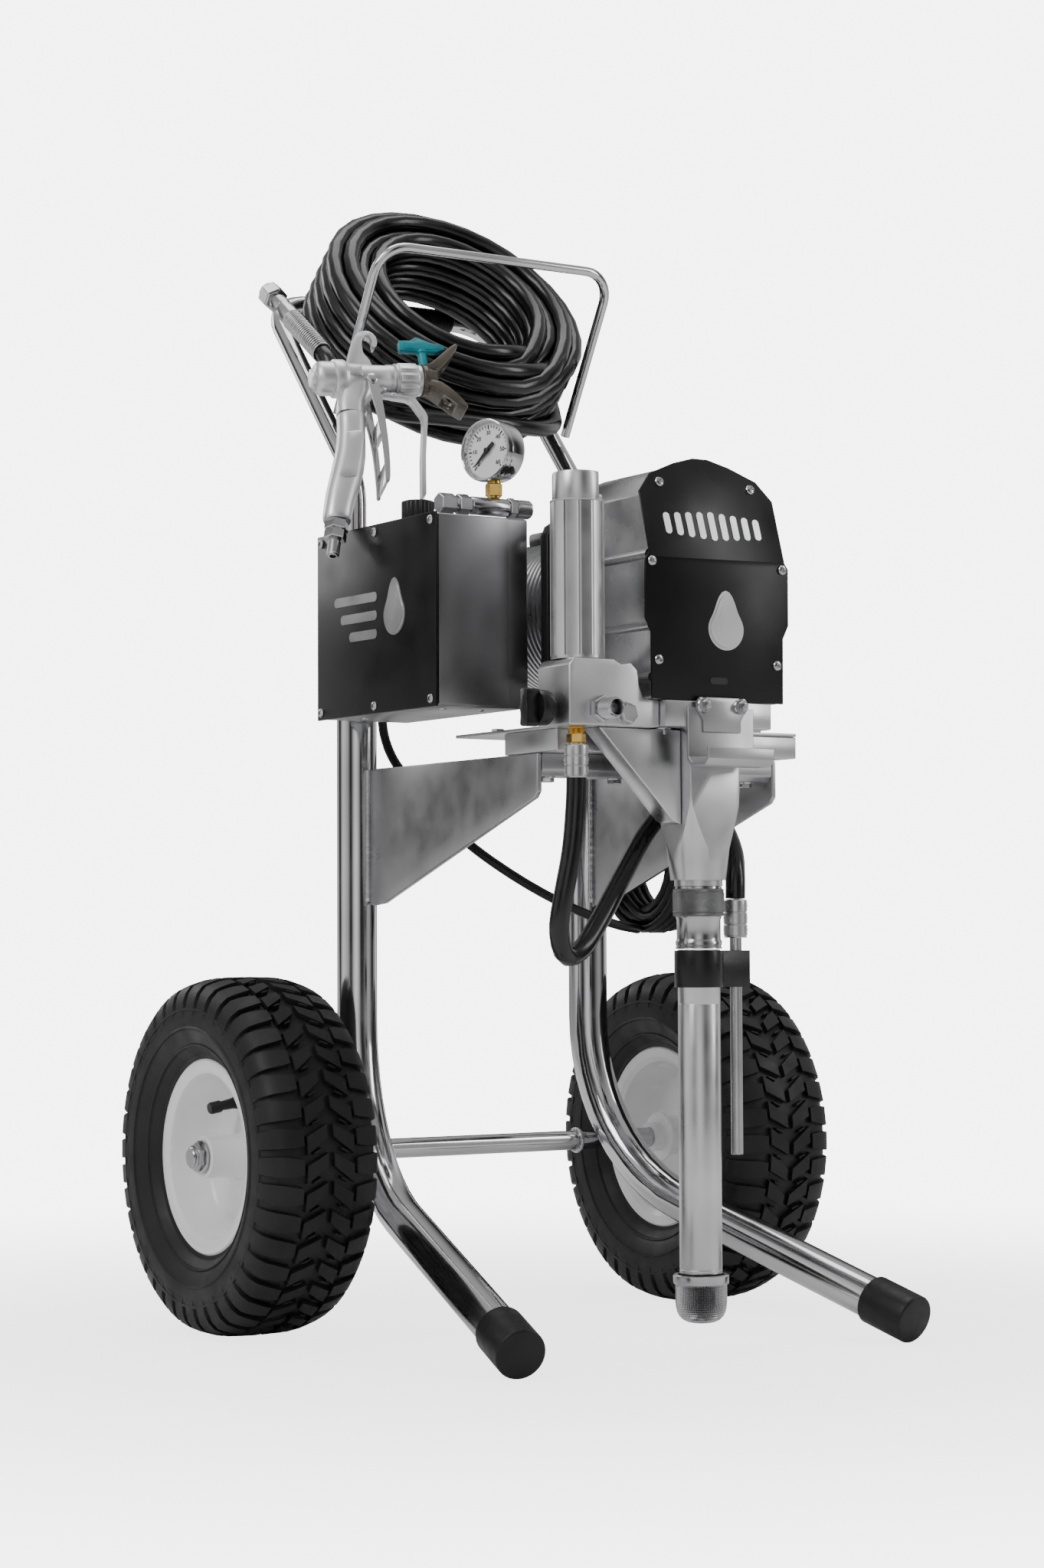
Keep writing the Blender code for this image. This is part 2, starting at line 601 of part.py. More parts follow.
def build_manifold():
    """The fluid manifold with the filter bowl, relief knob and outlet."""
    outline = [(-0.150, 0.545), (-0.150, 0.596), (-0.145, 0.602), (-0.104, 0.602), (-0.096, 0.598),
               (-0.087, 0.600), (-0.080, 0.594), (-0.078, 0.580), (-0.0735, 0.569),
               (-0.0574, 0.5685), (-0.0574, 0.546), (-0.062, 0.545)]
    block = as_mesh(new_plate("fluid_manifold", outline, 0.050, (0, FILTER_AT[1], 0), "Y"))
    add(bevel(block, 0.0015, 1), ALUMINIUM)
    x, y = FILTER_AT
    bowl = [(0.0, 0.764), (0.0190, 0.764), (0.0205, 0.762), (0.0205, 0.739), (0.0235, 0.738),
            (0.0235, 0.604), (0.0220, 0.6023), (0.0, 0.6023)]
    add(new_turned("filter_bowl", bowl, (x, y, 0), (0, 0, 1), 36), ALUMINIUM)
    knob = [(0.0, 0.0), (0.0090, 0.0), (0.0090, 0.007), (0.0150, 0.008), (0.0155, 0.010),
            (0.0155, 0.028), (0.0140, 0.031), (0.0, 0.031)]
    add(new_turned("relief_knob", knob, (-0.1503, y, 0.560), (-1, 0, 0), 24), PLASTIC)
    front = y - 0.025 - GAP
    outlet = [(0.0, 0.0), (0.0115, 0.0), (0.0115, 0.006), (0.0090, 0.007), (0.0090, 0.026),
              (0.0055, 0.026), (0.0055, 0.010), (0.0, 0.010)]
    add(new_turned("outlet_fitting", outlet, (-0.119, front, 0.559), (0, -1, 0), 24), BRUSHED)
    brass = [(0.0, 0.0), (0.0075, 0.0), (0.0075, 0.013), (0.0105, 0.014), (0.0105, 0.043), (0.0, 0.043)]
    add(new_turned("return_fitting", brass, (-0.127, y, 0.545 - GAP), (0, 0, -1), 20), BRASS)


def build_return_line():
    """The return hose, its steel tube and the clamp that holds the tube to the siphon."""
    route = [(-0.127, -0.366, 0.5014), (-0.128, -0.366, 0.478), (-0.132, -0.366, 0.440),
             (-0.139, -0.364, 0.402), (-0.141, -0.359, 0.372), (-0.130, -0.352, 0.350),
             (-0.108, -0.343, 0.354), (-0.082, -0.334, 0.380), (-0.050, -0.324, 0.420),
             (-0.020, -0.316, 0.456), (0.008, -0.312, 0.480), (0.032, -0.316, 0.484),
             (0.049, -0.331, 0.468), (0.050, -0.350, 0.442), (0.042, -0.364, 0.420),
             (RETURN_X, PUMP_Y, 0.3989)]
    add(new_tube("return_hose", eased_path(route, 0.014), 0.0088, 3), HOSE)
    tube = [(0.0, 0.3980), (0.0093, 0.3980), (0.0093, 0.3640), (0.0053, 0.3635), (0.0053, 0.174),
            (0.0038, 0.174), (0.0038, 0.200), (0.0, 0.200)]
    add(new_turned("return_tube", tube, (RETURN_X, PUMP_Y, 0), (0, 0, 1), 20), BRUSHED)
    low = 0.321
    high = 0.353
    clamp = new_rod("tube_clamp", (0, PUMP_Y, low), (0, PUMP_Y, high), 0.0215, 48)
    add(clamp, BLACK)
    join(clamp, new_box("tube_clamp_arm", (0.010, PUMP_Y - 0.009, low), (0.049, PUMP_Y + 0.009, high)))
    cut(clamp, new_rod("tube_clamp_bore", (0, PUMP_Y, low - 0.01), (0, PUMP_Y, high + 0.01), 0.0189, 48))
    hole = new_rod("tube_clamp_hole", (RETURN_X, PUMP_Y, low - 0.01), (RETURN_X, PUMP_Y, high + 0.01),
                   0.0056, 32)
    cut(clamp, hole)


def build_pail_hook():
    """The folded hook in front of the yoke that a pail hangs from."""
    outline = [(-0.3993, 0.563), (-0.4023, 0.563), (-0.4023, 0.5200), (-0.4070, 0.5145),
               (-0.4250, 0.5145), (-0.4290, 0.5190), (-0.4290, 0.5270), (-0.4320, 0.5270),
               (-0.4320, 0.5170), (-0.4265, 0.5115), (-0.4055, 0.5115), (-0.3993, 0.5175)]
    add(new_plate("pail_hook", outline, 0.070, (0, 0, 0), "X"), BRUSHED)


# ---- spray gun ----------------------------------------------------------------------------------
def gun_frame():
    """An empty at the gun's rear cap: +X along the barrel, +Z up the gun."""
    forward = GUN_FORWARD.normalized()
    up = (GUN_UP - forward * GUN_UP.dot(forward)).normalized()
    across = up.cross(forward)
    frame = bpy.data.objects.new("gun_frame", None)
    frame.location = GUN_AT
    frame.rotation_mode = "QUATERNION"
    frame.rotation_quaternion = Matrix((forward, across, up)).transposed().to_quaternion()
    frame.parent = DATUM
    SPRAYER.objects.link(frame)
    return frame


def build_gun():
    """The spray gun, in its own frame."""
    gun = gun_frame()
    barrel = [(0.0, -0.015), (0.009, -0.0135), (0.0145, -0.008), (0.0165, 0.0), (0.0165, 0.006),
              (0.0185, 0.0065), (0.0185, 0.017), (0.0155, 0.018), (0.0140, 0.046), (0.0140, 0.0665),
              (0.0, 0.0665)]
    body = new_turned("gun_body", barrel, (0, 0, 0), (1, 0, 0), 32)
    add(body, GUN_ALUMINIUM, gun)
    hook = [(0.018, 0.010), (0.046, 0.008), (0.0455, 0.030), (0.0500, 0.0320), (0.0560, 0.0400),
            (0.0545, 0.0460), (0.0480, 0.0520), (0.0400, 0.0510), (0.0320, 0.0430), (0.0270, 0.0300)]
    join(body, as_mesh(new_plate("gun_hook", hook, 0.010, (0, 0, 0), "Y")))
    eye = [(0.0405, 0.0300), (0.0405, 0.0420), (0.0440, 0.0465), (0.0480, 0.0465), (0.0510, 0.0420),
           (0.0600, 0.0330), (0.0500, 0.0220), (0.0440, 0.0220)]
    cut(body, as_mesh(new_plate("gun_hook_eye", eye, 0.030, (0, 0, 0), "Y")))
    shoulder = [(0.012, -0.008), (0.052, -0.006), (0.043, -0.018), (0.036, -0.028), (0.034, -0.0415),
                (0.004, -0.0415), (0.010, -0.022)]
    join(body, as_mesh(new_plate("gun_shoulder", shoulder, 0.022, (0, 0, 0), "Y")))

    route = [(0.0190, 0, -0.0418), (0.0190, 0, -0.0480), (0.0170, 0, -0.060), (0.0125, 0, -0.085),
             (0.0030, 0, -0.115), (-0.0060, 0, -0.140), (-0.0100, 0, -0.1560)]
    handle = new_tube("gun_handle", route, 0.0150, 4, [0.85, 0.88, 0.95, 1.05, 1.05, 1.0, 0.95])
    add(handle, GUN_ALUMINIUM, gun)

    x, z = TRIGGER_PIVOT
    blade = [(-0.004, -0.018), (0.004, -0.018), (0.007, -0.040), (0.006, -0.075), (0.002, -0.110),
             (-0.004, -0.112), (-0.003, -0.075), (-0.003, -0.040)]
    strap = [(-0.005, 0.005), (0.005, 0.005), (0.007, -0.030), (-0.006, -0.030)]
    trigger = as_mesh(new_plate("gun_trigger", blade, 0.0340, (0, 0, 0), "Y"))
    trigger.location = (x, 0, z)
    add(trigger, GUN_ALUMINIUM, gun)
    cheeks = as_mesh(new_plate("gun_trigger_cheeks", strap, 0.0340, (0, 0, 0), "Y"))
    cheeks.location = (x, 0, z)
    join(trigger, cheeks)
    slot = new_box("gun_trigger_slot", (x - 0.02, -0.0152, z - 0.036), (x + 0.02, 0.0152, z + 0.02))
    cut(trigger, slot)

    guard = rounded_path([(0.058, 0, -0.0158), (0.084, 0, -0.0200), (0.0945, 0, -0.040),
                          (0.0860, 0, -0.085), (0.0800, 0, -0.127)], [0.010, 0.014, 0.060], 5)
    strip = [(point.x, point.z) for point in guard]
    inner = [(px - 0.0022, pz - 0.0016) for px, pz in strip]
    add(new_plate("gun_trigger_guard", strip + inner[::-1], 0.009, (0, 0, 0), "Y"), GUN_ALUMINIUM, gun)

    nut = [(0.0, 0.0670), (0.0145, 0.0670), (0.0165, 0.0700), (0.0165, 0.0920), (0.0150, 0.0942),
           (0.0, 0.0942)]
    add(new_turned("gun_nozzle_nut", nut, (0, 0, 0), (1, 0, 0), 24), GUN_ALUMINIUM, gun)
    build_tip(gun)
    swivel = [(0.0, 0.0), (0.0100, 0.0), (0.0115, 0.003), (0.0115, 0.019), (0.0075, 0.021),
              (0.0060, 0.022), (0.0060, 0.037), (0.0, 0.037)]
    down = (Vector(route[-1]) - Vector(route[-2])).normalized()
    start = Vector(route[-1]) + down * GAP
    add(new_turned("gun_swivel", swivel, start, down, 24), BRUSHED, gun)


def build_tip(gun):
    """The tip guard with its wings, and the reversible tip that turns in it."""
    wings = [(0.0945, -0.012), (0.0945, 0.012), (0.104, 0.014), (0.118, 0.026), (0.131, 0.036),
             (0.134, 0.0345), (0.124, 0.018), (0.108, 0.004), (0.108, -0.004), (0.124, -0.018),
             (0.134, -0.0345), (0.131, -0.036), (0.118, -0.026), (0.104, -0.014)]
    guard = as_mesh(new_plate("gun_tip_guard", wings, 0.026, (0, 0, 0), "Y"))
    add(guard, BRONZE, gun)
    bore = new_rod("gun_tip_bore", (TIP_STEM_AT, 0, -0.030), (TIP_STEM_AT, 0, 0.030), 0.0047, 32)
    cut(guard, bore)
    stem = [(0.0, 0.045), (0.0044, 0.045), (0.0044, -0.011), (0.0, -0.011)]
    tip = new_turned("gun_spray_tip", stem, (TIP_STEM_AT, 0, 0), (0, 0, 1), 24)
    add(tip, TEAL, gun)
    flag = [(-0.021, 0.0325), (-0.006, 0.0315), (0.012, 0.0315), (0.020, 0.0335), (0.020, 0.0385),
            (0.009, 0.0405), (-0.004, 0.0460), (-0.010, 0.0420), (-0.021, 0.0420)]
    grip = as_mesh(new_plate("gun_tip_flag", flag, 0.0075, (0, 0, 0), "Y"))
    grip.location = (TIP_STEM_AT, 0, 0)
    join(tip, grip)


# ---- paint hose and power cord ------------------------------------------------------------------
def build_paint_hose():
    """The wound hose, its tail, and the fittings on its two ends."""
    inner, outer = COIL_RADII
    half = COIL_HALF_THICK
    round_off = 0.006
    ring = [(inner, half - round_off), (inner + round_off, half), (outer - round_off, half),
            (outer, half - round_off), (outer, round_off - half), (outer - round_off, -half),
            (inner + round_off, -half), (inner, round_off - half)]
    add(new_turned("hose_coil", ring, COIL_AT, COIL_NORMAL, 48), HOSE)

    top = Vector((-0.160, 0.131, 1.0055))
    run = Vector((0.0, -0.813, -0.582)).normalized()
    fitting = [(0.0, 0.0), (0.0110, 0.0), (0.0115, 0.002), (0.0115, 0.020), (0.0080, 0.022),
               (0.0080, 0.032), (0.0103, 0.034), (0.0103, 0.138), (0.0, 0.138)]
    add(new_turned("hose_end_a", fitting, top, run, 24), BRUSHED)
    start = top + run * (0.138 + GAP)
    route = [start, start + run * 0.012, (-0.157, 0.0005, 0.9085), (-0.146, -0.0035, 0.8990),
             (-0.130, -0.0040, 0.8900), (-0.108, -0.0060, 0.8820), (-0.082, -0.0090, 0.8755),
             (-0.055, -0.0120, 0.8715), (-0.028, -0.0135, 0.8695), (0.000, -0.0140, 0.8690)]
    add(new_tube("hose_tail", eased_path(route, 0.014), HOSE_RADIUS, 3), HOSE)

    along = Vector((0.0, -COIL_NORMAL.z, COIL_NORMAL.y))
    middle = COIL_AT + along * 0.057 - COIL_NORMAL * 0.032
    last = [(0.0, 0.0), (0.0085, 0.0), (0.0085, 0.040), (0.0075, 0.042), (0.0095, 0.046),
            (0.0095, 0.064), (0.0, 0.064)]
    add(new_turned("hose_end_b", last, middle - Vector((0.032, 0, 0)), (1, 0, 0), 24), BRUSHED)


def build_power_cord():
    """The supply cord, its coil on a peg outside the right gusset, and its plug."""
    x, y, z = CORD_COIL_AT
    route = [(-0.104, BOX_Y[1] + GAP, 0.590), (-0.104, -0.008, 0.589), (-0.102, 0.008, 0.580),
             (-0.098, 0.012, 0.560), (-0.092, 0.004, 0.536), (-0.080, -0.018, 0.506),
             (-0.066, -0.046, 0.476), (-0.046, -0.068, 0.450), (-0.018, -0.084, 0.427),
             (0.014, -0.094, 0.4075), (0.048, -0.099, 0.392), (0.076, -0.1005, 0.3825),
             (0.0985, -0.100, 0.3765), (0.1185, -0.0946, 0.3738),
             (x - CORD_COIL_HALF_THICK - 0.0052, -0.0855, 0.3736)]
    add(new_tube("power_cord", eased_path(route, 0.011), CORD_RADIUS, 2), RUBBER)
    inner, outer = CORD_COIL_RADII
    half = CORD_COIL_HALF_THICK
    round_off = 0.004
    ring = [(inner, half - round_off), (inner + round_off, half), (outer - round_off, half),
            (outer, half - round_off), (outer, round_off - half), (outer - round_off, -half),
            (inner + round_off, -half), (inner, round_off - half)]
    add(new_turned("power_cord_coil", ring, CORD_COIL_AT, (1, 0, 0), 36), RUBBER)
    peg = ((GUSSET_X[1] + GAP, y, z + 0.0356), (x + CORD_COIL_HALF_THICK + 0.006, y, z + 0.0356))
    add(new_rod("cord_peg", *peg, 0.0050, 24), BRUSHED)
    plug = [(0.0, 0.0), (0.0062, 0.0), (0.0072, 0.006), (0.0110, 0.012), (0.0150, 0.022),
            (0.0150, 0.033), (0.0138, 0.0345), (0.0, 0.0345)]
    add(new_turned("power_plug", plug, (x + 0.0345, y - 0.0261, z - 0.012), (0, 0, -1), 24), PLASTIC)


for tag, way in (("left", -1), ("right", 1)):
    build_frame_tube(tag + "_frame_tube", way)
    build_foot_cap(tag + "_foot_cap", way)
    build_gusset(tag + "_gusset", way)
    build_wheel(tag, way)
build_handle()
build_hose_hoop()
build_axle()
build_deck()
build_control_box()
build_gauge()
build_drive()
build_pump()
build_brace()
build_manifold()
build_return_line()
build_pail_hook()
build_gun()
build_paint_hose()
build_power_cord()
bpy.context.view_layer.update()
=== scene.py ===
"""Airless paint sprayer on a two-wheeled cart: its pieces and finishes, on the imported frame."""

import logging
from dataclasses import dataclass
from enum import Enum
from math import cos, pi, radians, sin

import bmesh
import bpy
from mathutils import Matrix, Vector


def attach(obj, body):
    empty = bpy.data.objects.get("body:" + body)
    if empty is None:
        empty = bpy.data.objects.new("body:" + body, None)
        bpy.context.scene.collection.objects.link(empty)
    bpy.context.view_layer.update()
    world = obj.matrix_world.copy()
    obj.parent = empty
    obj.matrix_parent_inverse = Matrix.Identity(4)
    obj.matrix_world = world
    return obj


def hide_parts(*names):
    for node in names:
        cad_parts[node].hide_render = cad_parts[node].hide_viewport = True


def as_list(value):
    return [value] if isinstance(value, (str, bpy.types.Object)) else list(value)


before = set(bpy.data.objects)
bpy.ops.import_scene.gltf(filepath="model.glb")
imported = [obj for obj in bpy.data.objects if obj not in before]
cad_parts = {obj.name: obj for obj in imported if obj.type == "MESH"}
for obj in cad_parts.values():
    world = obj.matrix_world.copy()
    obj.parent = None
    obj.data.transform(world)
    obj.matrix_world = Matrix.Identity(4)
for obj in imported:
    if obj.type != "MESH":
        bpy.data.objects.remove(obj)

LOG = logging.getLogger("sprayer")
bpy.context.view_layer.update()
AXLE_Y = 0.1175
UP = Vector((0.0, 0.0, 1.0))
DOWN = Vector((0.0, 0.0, -1.0))
RIGHT = Vector((1.0, 0.0, 0.0))
LEFT = Vector((-1.0, 0.0, 0.0))
REAR = Vector((0.0, 1.0, 0.0))
FRONT = Vector((0.0, -1.0, 0.0))
Piece = bpy.types.Object
Tree = bpy.types.NodeTree
Socket = bpy.types.NodeSocket
Point = tuple[float, float, float]
Pair = tuple[float, float]


def cart(x: float, y: float, z: float) -> Vector:
    """Turn a place measured from the axle's line into a place in the row frame."""
    return Vector((x, y + AXLE_Y, z))


# ---- bench: how pieces are made -----------------------------------------------------------------
def clear() -> None:
    """Leave edit mode and deselect everything."""
    if bpy.context.object and bpy.context.object.mode != "OBJECT":
        bpy.ops.object.mode_set(mode="OBJECT")
    bpy.ops.object.select_all(action="DESELECT")


def pick(piece: Piece) -> None:
    """Select one piece only and make it active."""
    clear()
    piece.select_set(True)
    bpy.context.view_layer.objects.active = piece


def soften(piece: Piece, angle: float = 35.0) -> Piece:
    """Shade a piece smooth where its faces meet at less than an angle in degrees."""
    pick(piece)
    bpy.ops.object.shade_smooth_by_angle(angle=radians(angle))
    return piece


def place(piece: Piece, at: Vector, along: Vector = UP, roll: float = 0.0) -> Piece:
    """Turn a piece's +Z along a direction, move it, and apply both.

    Args:
        piece: The piece, modelled about the origin.
        at: Where its origin goes.
        along: Where its +Z points.
        roll: A turn about its own +Z first, in radians.

    Returns:
        The piece, with its place in its mesh.
    """
    turn = Vector(along).to_track_quat("Z", "Y").to_matrix().to_4x4()
    piece.matrix_world = Matrix.Translation(at) @ turn @ Matrix.Rotation(roll, 4, "Z")
    return settle(piece)


def settle(piece: Piece) -> Piece:
    """Put a piece's place, turn and scale into its mesh."""
    pick(piece)
    bpy.ops.object.transform_apply(location=True, rotation=True, scale=True)
    return piece


def apply(piece: Piece) -> Piece:
    """Apply all of a piece's modifiers in order."""
    pick(piece)
    for step in list(piece.modifiers):
        bpy.ops.object.modifier_apply(modifier=step.name)
    return piece


def rounded(piece: Piece, width: float, segments: int = 2, angle: float = 35.0) -> Piece:
    """Round a piece's sharp edges."""
    step = piece.modifiers.new("rounding", "BEVEL")
    step.width = width
    step.segments = segments
    step.limit_method = "ANGLE"
    step.angle_limit = radians(angle)
    step.harden_normals = False
    return soften(apply(piece), 40.0)


def turned(name: str, profile: list[Pair], at: Vector, along: Vector = UP, sides: int = 48,
           ring: bool = False) -> Piece:
    """Build a turned piece by extruding a circle through its outline, step by step.

    Args:
        name: The piece's name.
        profile: Pairs of (radius, height) in metres, from one end to the other.
        at: Where height 0 of its axis goes.
        along: Where its axis points.
        sides: How many sides the circle has.
        ring: True for an outline that closes on itself round a hole.

    Returns:
        The piece.
    """
    clear()
    radius, height = profile[0]
    bpy.ops.mesh.primitive_circle_add(vertices=sides, radius=radius, location=(0.0, 0.0, height),
                                      fill_type="NOTHING" if ring else "NGON")
    piece = bpy.context.object
    piece.name = name
    bpy.ops.object.transform_apply(location=True, rotation=True, scale=True)
    bpy.ops.object.mode_set(mode="EDIT")
    bpy.ops.mesh.select_all(action="SELECT")
    for wide, high in profile[1:] + ([profile[0]] if ring else []):
        bpy.ops.mesh.extrude_region_move(TRANSFORM_OT_translate={"value": (0.0, 0.0, high
                                                                           - height)})
        if wide != radius:
            ratio = wide / radius
            bpy.ops.transform.resize(value=(ratio, ratio, 1.0), center_override=(0.0, 0.0, high))
        radius, height = wide, high
    bpy.ops.mesh.select_all(action="SELECT")
    if ring:
        bpy.ops.mesh.remove_doubles(threshold=0.000001)
    bpy.ops.mesh.normals_make_consistent(inside=False)
    bpy.ops.object.mode_set(mode="OBJECT")
    return soften(place(piece, at, along))


def plate(name: str, outline: list[Pair], thickness: float, across: Vector, up: Vector, at: Vector,
          rounding: float = 0.0) -> Piece:
    """Build a flat piece from an outline, half its thickness to each side of its plane.

    Args:
        name: The piece's name.
        outline: Pairs of metres along across and up.
        thickness: How thick the piece is.
        across: The plane's first direction.
        up: The plane's second direction.
        at: Where the outline's (0, 0) goes.
        rounding: The width of its rounded edges.

    Returns:
        The piece.
    """
    clear()
    bpy.ops.mesh.primitive_circle_add(vertices=len(outline), radius=1.0, fill_type="NGON")
    piece = bpy.context.object
    piece.name = name
    for corner, (first, second) in zip(piece.data.vertices, outline):
        corner.co = (first, second, -thickness / 2)
    bpy.ops.object.mode_set(mode="EDIT")
    bpy.ops.mesh.select_all(action="SELECT")
    bpy.ops.mesh.extrude_region_move(TRANSFORM_OT_translate={"value": (0.0, 0.0, thickness)})
    bpy.ops.mesh.select_all(action="SELECT")
    bpy.ops.mesh.normals_make_consistent(inside=False)
    bpy.ops.object.mode_set(mode="OBJECT")
    side = Vector(across).normalized()
    rise = Vector(up).normalized()
    turn = Matrix((side, rise, side.cross(rise))).transposed().to_4x4()
    piece.matrix_world = Matrix.Translation(at) @ turn
    settle(piece)
    return rounded(piece, rounding) if rounding else soften(piece)


def block(name: str, low: Vector, high: Vector, rounding: float = 0.001) -> Piece:
    """Build a box between two corners with rounded edges."""
    clear()
    bpy.ops.mesh.primitive_cube_add(size=1.0, location=(Vector(low) + Vector(high)) / 2)
    piece = bpy.context.object
    piece.name = name
    piece.scale = Vector(high) - Vector(low)
    return rounded(settle(piece), rounding)


def tube(name: str, points: list[Vector], radius: float, resolution: int = 5,
         widths: list[float] | None = None, keep: bool = False) -> Piece:
    """Run a round tube with filled ends through points.

    Args:
        name: The piece's name.
        points: The centreline.
        radius: Its radius.
        resolution: The roundness of its section.
        widths: A factor on the radius at each point.
        keep: True to leave it a curve, as a cord is.

    Returns:
        The piece.
    """
    line = bpy.data.curves.new(name, "CURVE")
    line.dimensions = "3D"
    line.bevel_depth = radius
    line.bevel_resolution = resolution
    line.use_fill_caps = True
    run = line.splines.new("POLY")
    run.points.add(len(points) - 1)
    run.use_smooth = True
    for index, (spot, where) in enumerate(zip(run.points, points)):
        spot.co = (*where, 1.0)
        spot.radius = widths[index] if widths else 1.0
    piece = bpy.data.objects.new(name, line)
    bpy.context.scene.collection.objects.link(piece)
    if keep:
        return piece
    pick(piece)
    bpy.ops.object.convert(target="MESH")
    return soften(bpy.context.object, 50.0)


def copied(piece: Piece, name: str, change: Matrix) -> Piece:
    """Copy a piece with its own mesh, and move the copy's mesh by a matrix."""
    twin = piece.copy()
    twin.data = piece.data.copy()
    twin.name = name
    bpy.context.scene.collection.objects.link(twin)
    twin.matrix_world = change
    settle(twin)
    if change.determinant() < 0.0:
        pick(twin)
        bpy.ops.object.mode_set(mode="EDIT")
        bpy.ops.mesh.select_all(action="SELECT")
        bpy.ops.mesh.normals_make_consistent(inside=False)
        bpy.ops.object.mode_set(mode="OBJECT")
    return twin


def joined(name: str, pieces: list[Piece]) -> Piece:
    """Join pieces into one."""
    clear()
    for piece in pieces:
        piece.select_set(True)
    bpy.context.view_layer.objects.active = pieces[0]
    bpy.ops.object.join()
    result = bpy.context.object
    result.name = name
    return result


def around(piece: Piece, count: int, at: Vector, along: Vector) -> Piece:
    """Repeat a piece evenly about an axis and join the copies."""
    spin = [Matrix.Translation(at) @ Matrix.Rotation(2 * pi * step / count, 4,
                                                     Vector(along))
            @ Matrix.Translation(-Vector(at)) for step in range(1, count)]
    return joined(piece.name, [piece] + [copied(piece, piece.name, turn) for turn in spin])


def refined(node: str, width: float = 0.0006, segments: int = 2, angle: float = 35.0) -> Piece:
    """Copy a CAD node's mesh, merge it, round its sharp edges and let it stand for the node.

    Args:
        node: The CAD node.
        width: The width of its rounded edges, or 0 for none.
        segments: How many steps each rounding has.
        angle: Edges sharper than this are rounded.

    Returns:
        The piece, in place and not yet on a body.
    """
    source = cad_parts[node]
    clear()
    piece = source.copy()
    piece.data = source.data.copy()
    piece.parent = None
    piece.name = node + "_skin"
    piece.matrix_world = Matrix.Identity(4)
    bpy.context.scene.collection.objects.link(piece)
    pick(piece)
    bpy.ops.object.mode_set(mode="EDIT")
    bpy.ops.mesh.select_all(action="SELECT")
    bpy.ops.mesh.remove_doubles(threshold=0.000004)
    bpy.ops.mesh.dissolve_limited(angle_limit=radians(1.0))
    bpy.ops.mesh.normals_make_consistent(inside=False)
    bpy.ops.object.mode_set(mode="OBJECT")
    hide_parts(node)
    return rounded(piece, width, segments, angle) if width else soften(piece, angle)


def rounded_path(corners: list[Point], radii: list[float], steps: int = 12) -> list[Vector]:
    """Points along straight runs whose inner corners are replaced by arcs."""
    spots = [Vector(corner) for corner in corners]
    path = [spots[0]]
    for before, corner, after, radius in zip(spots, spots[1:], spots[2:], radii):
        back = (before - corner).normalized()
        ahead = (after - corner).normalized()
        half = back.angle(ahead) / 2
        centre = corner + (back + ahead).normalized() * (radius / sin(half))
        reach = radius * cos(half) / sin(half)
        start = corner + back * reach - centre
        turn = start.cross(corner + ahead * reach - centre).normalized()
        for step in range(steps + 1):
            path.append(centre + Matrix.Rotation((pi - 2 * half) * step / steps, 3, turn) @ start)
    path.append(spots[-1])
    return path


def eased_path(knots: list[Vector], spacing: float) -> list[Vector]:
    """Points a set distance apart along a smooth curve through knots."""
    ends = [2 * knots[0] - knots[1], *knots, 2 * knots[-1] - knots[-2]]
    fine: list[Vector] = []
    for a, b, c, d in zip(ends, ends[1:], ends[2:], ends[3:]):
        for step in range(24):
            t = step / 24
            fine.append(0.5 * (2 * b + (c - a) * t + (2 * a - 5 * b + 4 * c - d) * t ** 2 + (3 * b
                                                                                             - a - 3
                                                                                             * c
                                                                                             + d)
                               * t ** 3))
    fine.append(knots[-1])
    total = sum((b - a).length for a, b in zip(fine, fine[1:]))
    count = max(2, round(total / spacing))
    path = [fine[0]]
    walked = 0.0
    for a, b in zip(fine, fine[1:]):
        walked += (b - a).length
        if walked >= len(path) * total / count and len(path) < count:
            path.append(b)
    path.append(fine[-1])
    return path


def span(points: list[Vector]) -> float:
    """The length of a line through points."""
    return sum((b - a).length for a, b in zip(points, points[1:]))


def ease(value: float) -> float:
    """A smooth step from 0 to 1."""
    value = min(1.0, max(0.0, value))
    return value * value * (3 - 2 * value)


def thread(radius: float, start: float, length: float, pitch: float = 0.0013) -> list[Pair]:
    """The outline of a screw thread's crests and roots, from start along the axis."""
    outline = []
    count = max(1, round(length / pitch))
    for turn in range(count):
        height = start + length * turn / count
        rise = length / count
        outline += [(radius - 0.0007, height + 0.05 * rise), (radius, height + 0.4 * rise),
                    (radius, height + 0.6 * rise), (radius - 0.0007, height + 0.95 * rise)]
    return outline


def loft(name: str, rings: list[list[Vector]], closed: bool = False) -> Piece:
    """Skin a row of rings of points, and cap the two ends unless the row is closed."""
    data = bpy.data.meshes.new(name)
    skin = bmesh.new()
    rows = [[skin.verts.new(point) for point in ring] for ring in rings]
    pairs = list(zip(rows, rows[1:])) + ([(rows[-1], rows[0])] if closed else [])
    for first, second in pairs:
        for index in range(len(first)):
            after = (index + 1) % len(first)
            skin.faces.new((first[index], first[after], second[after], second[index]))
    if not closed:
        skin.faces.new(rows[0][::-1])
        skin.faces.new(rows[-1])
    bmesh.ops.recalc_face_normals(skin, faces=skin.faces)
    skin.to_mesh(data)
    skin.free()
    piece = bpy.data.objects.new(name, data)
    bpy.context.scene.collection.objects.link(piece)
    return soften(piece)


def carve(piece: Piece, tool: Piece, how: str = "DIFFERENCE") -> Piece:
    """Cut, join or intersect a piece with a tool and remove the tool."""
    step = piece.modifiers.new("carve", "BOOLEAN")
    step.operation = how
    step.solver = "EXACT"
    step.object = tool
    apply(piece)
    bpy.data.objects.remove(tool, do_unlink=True)
    return piece


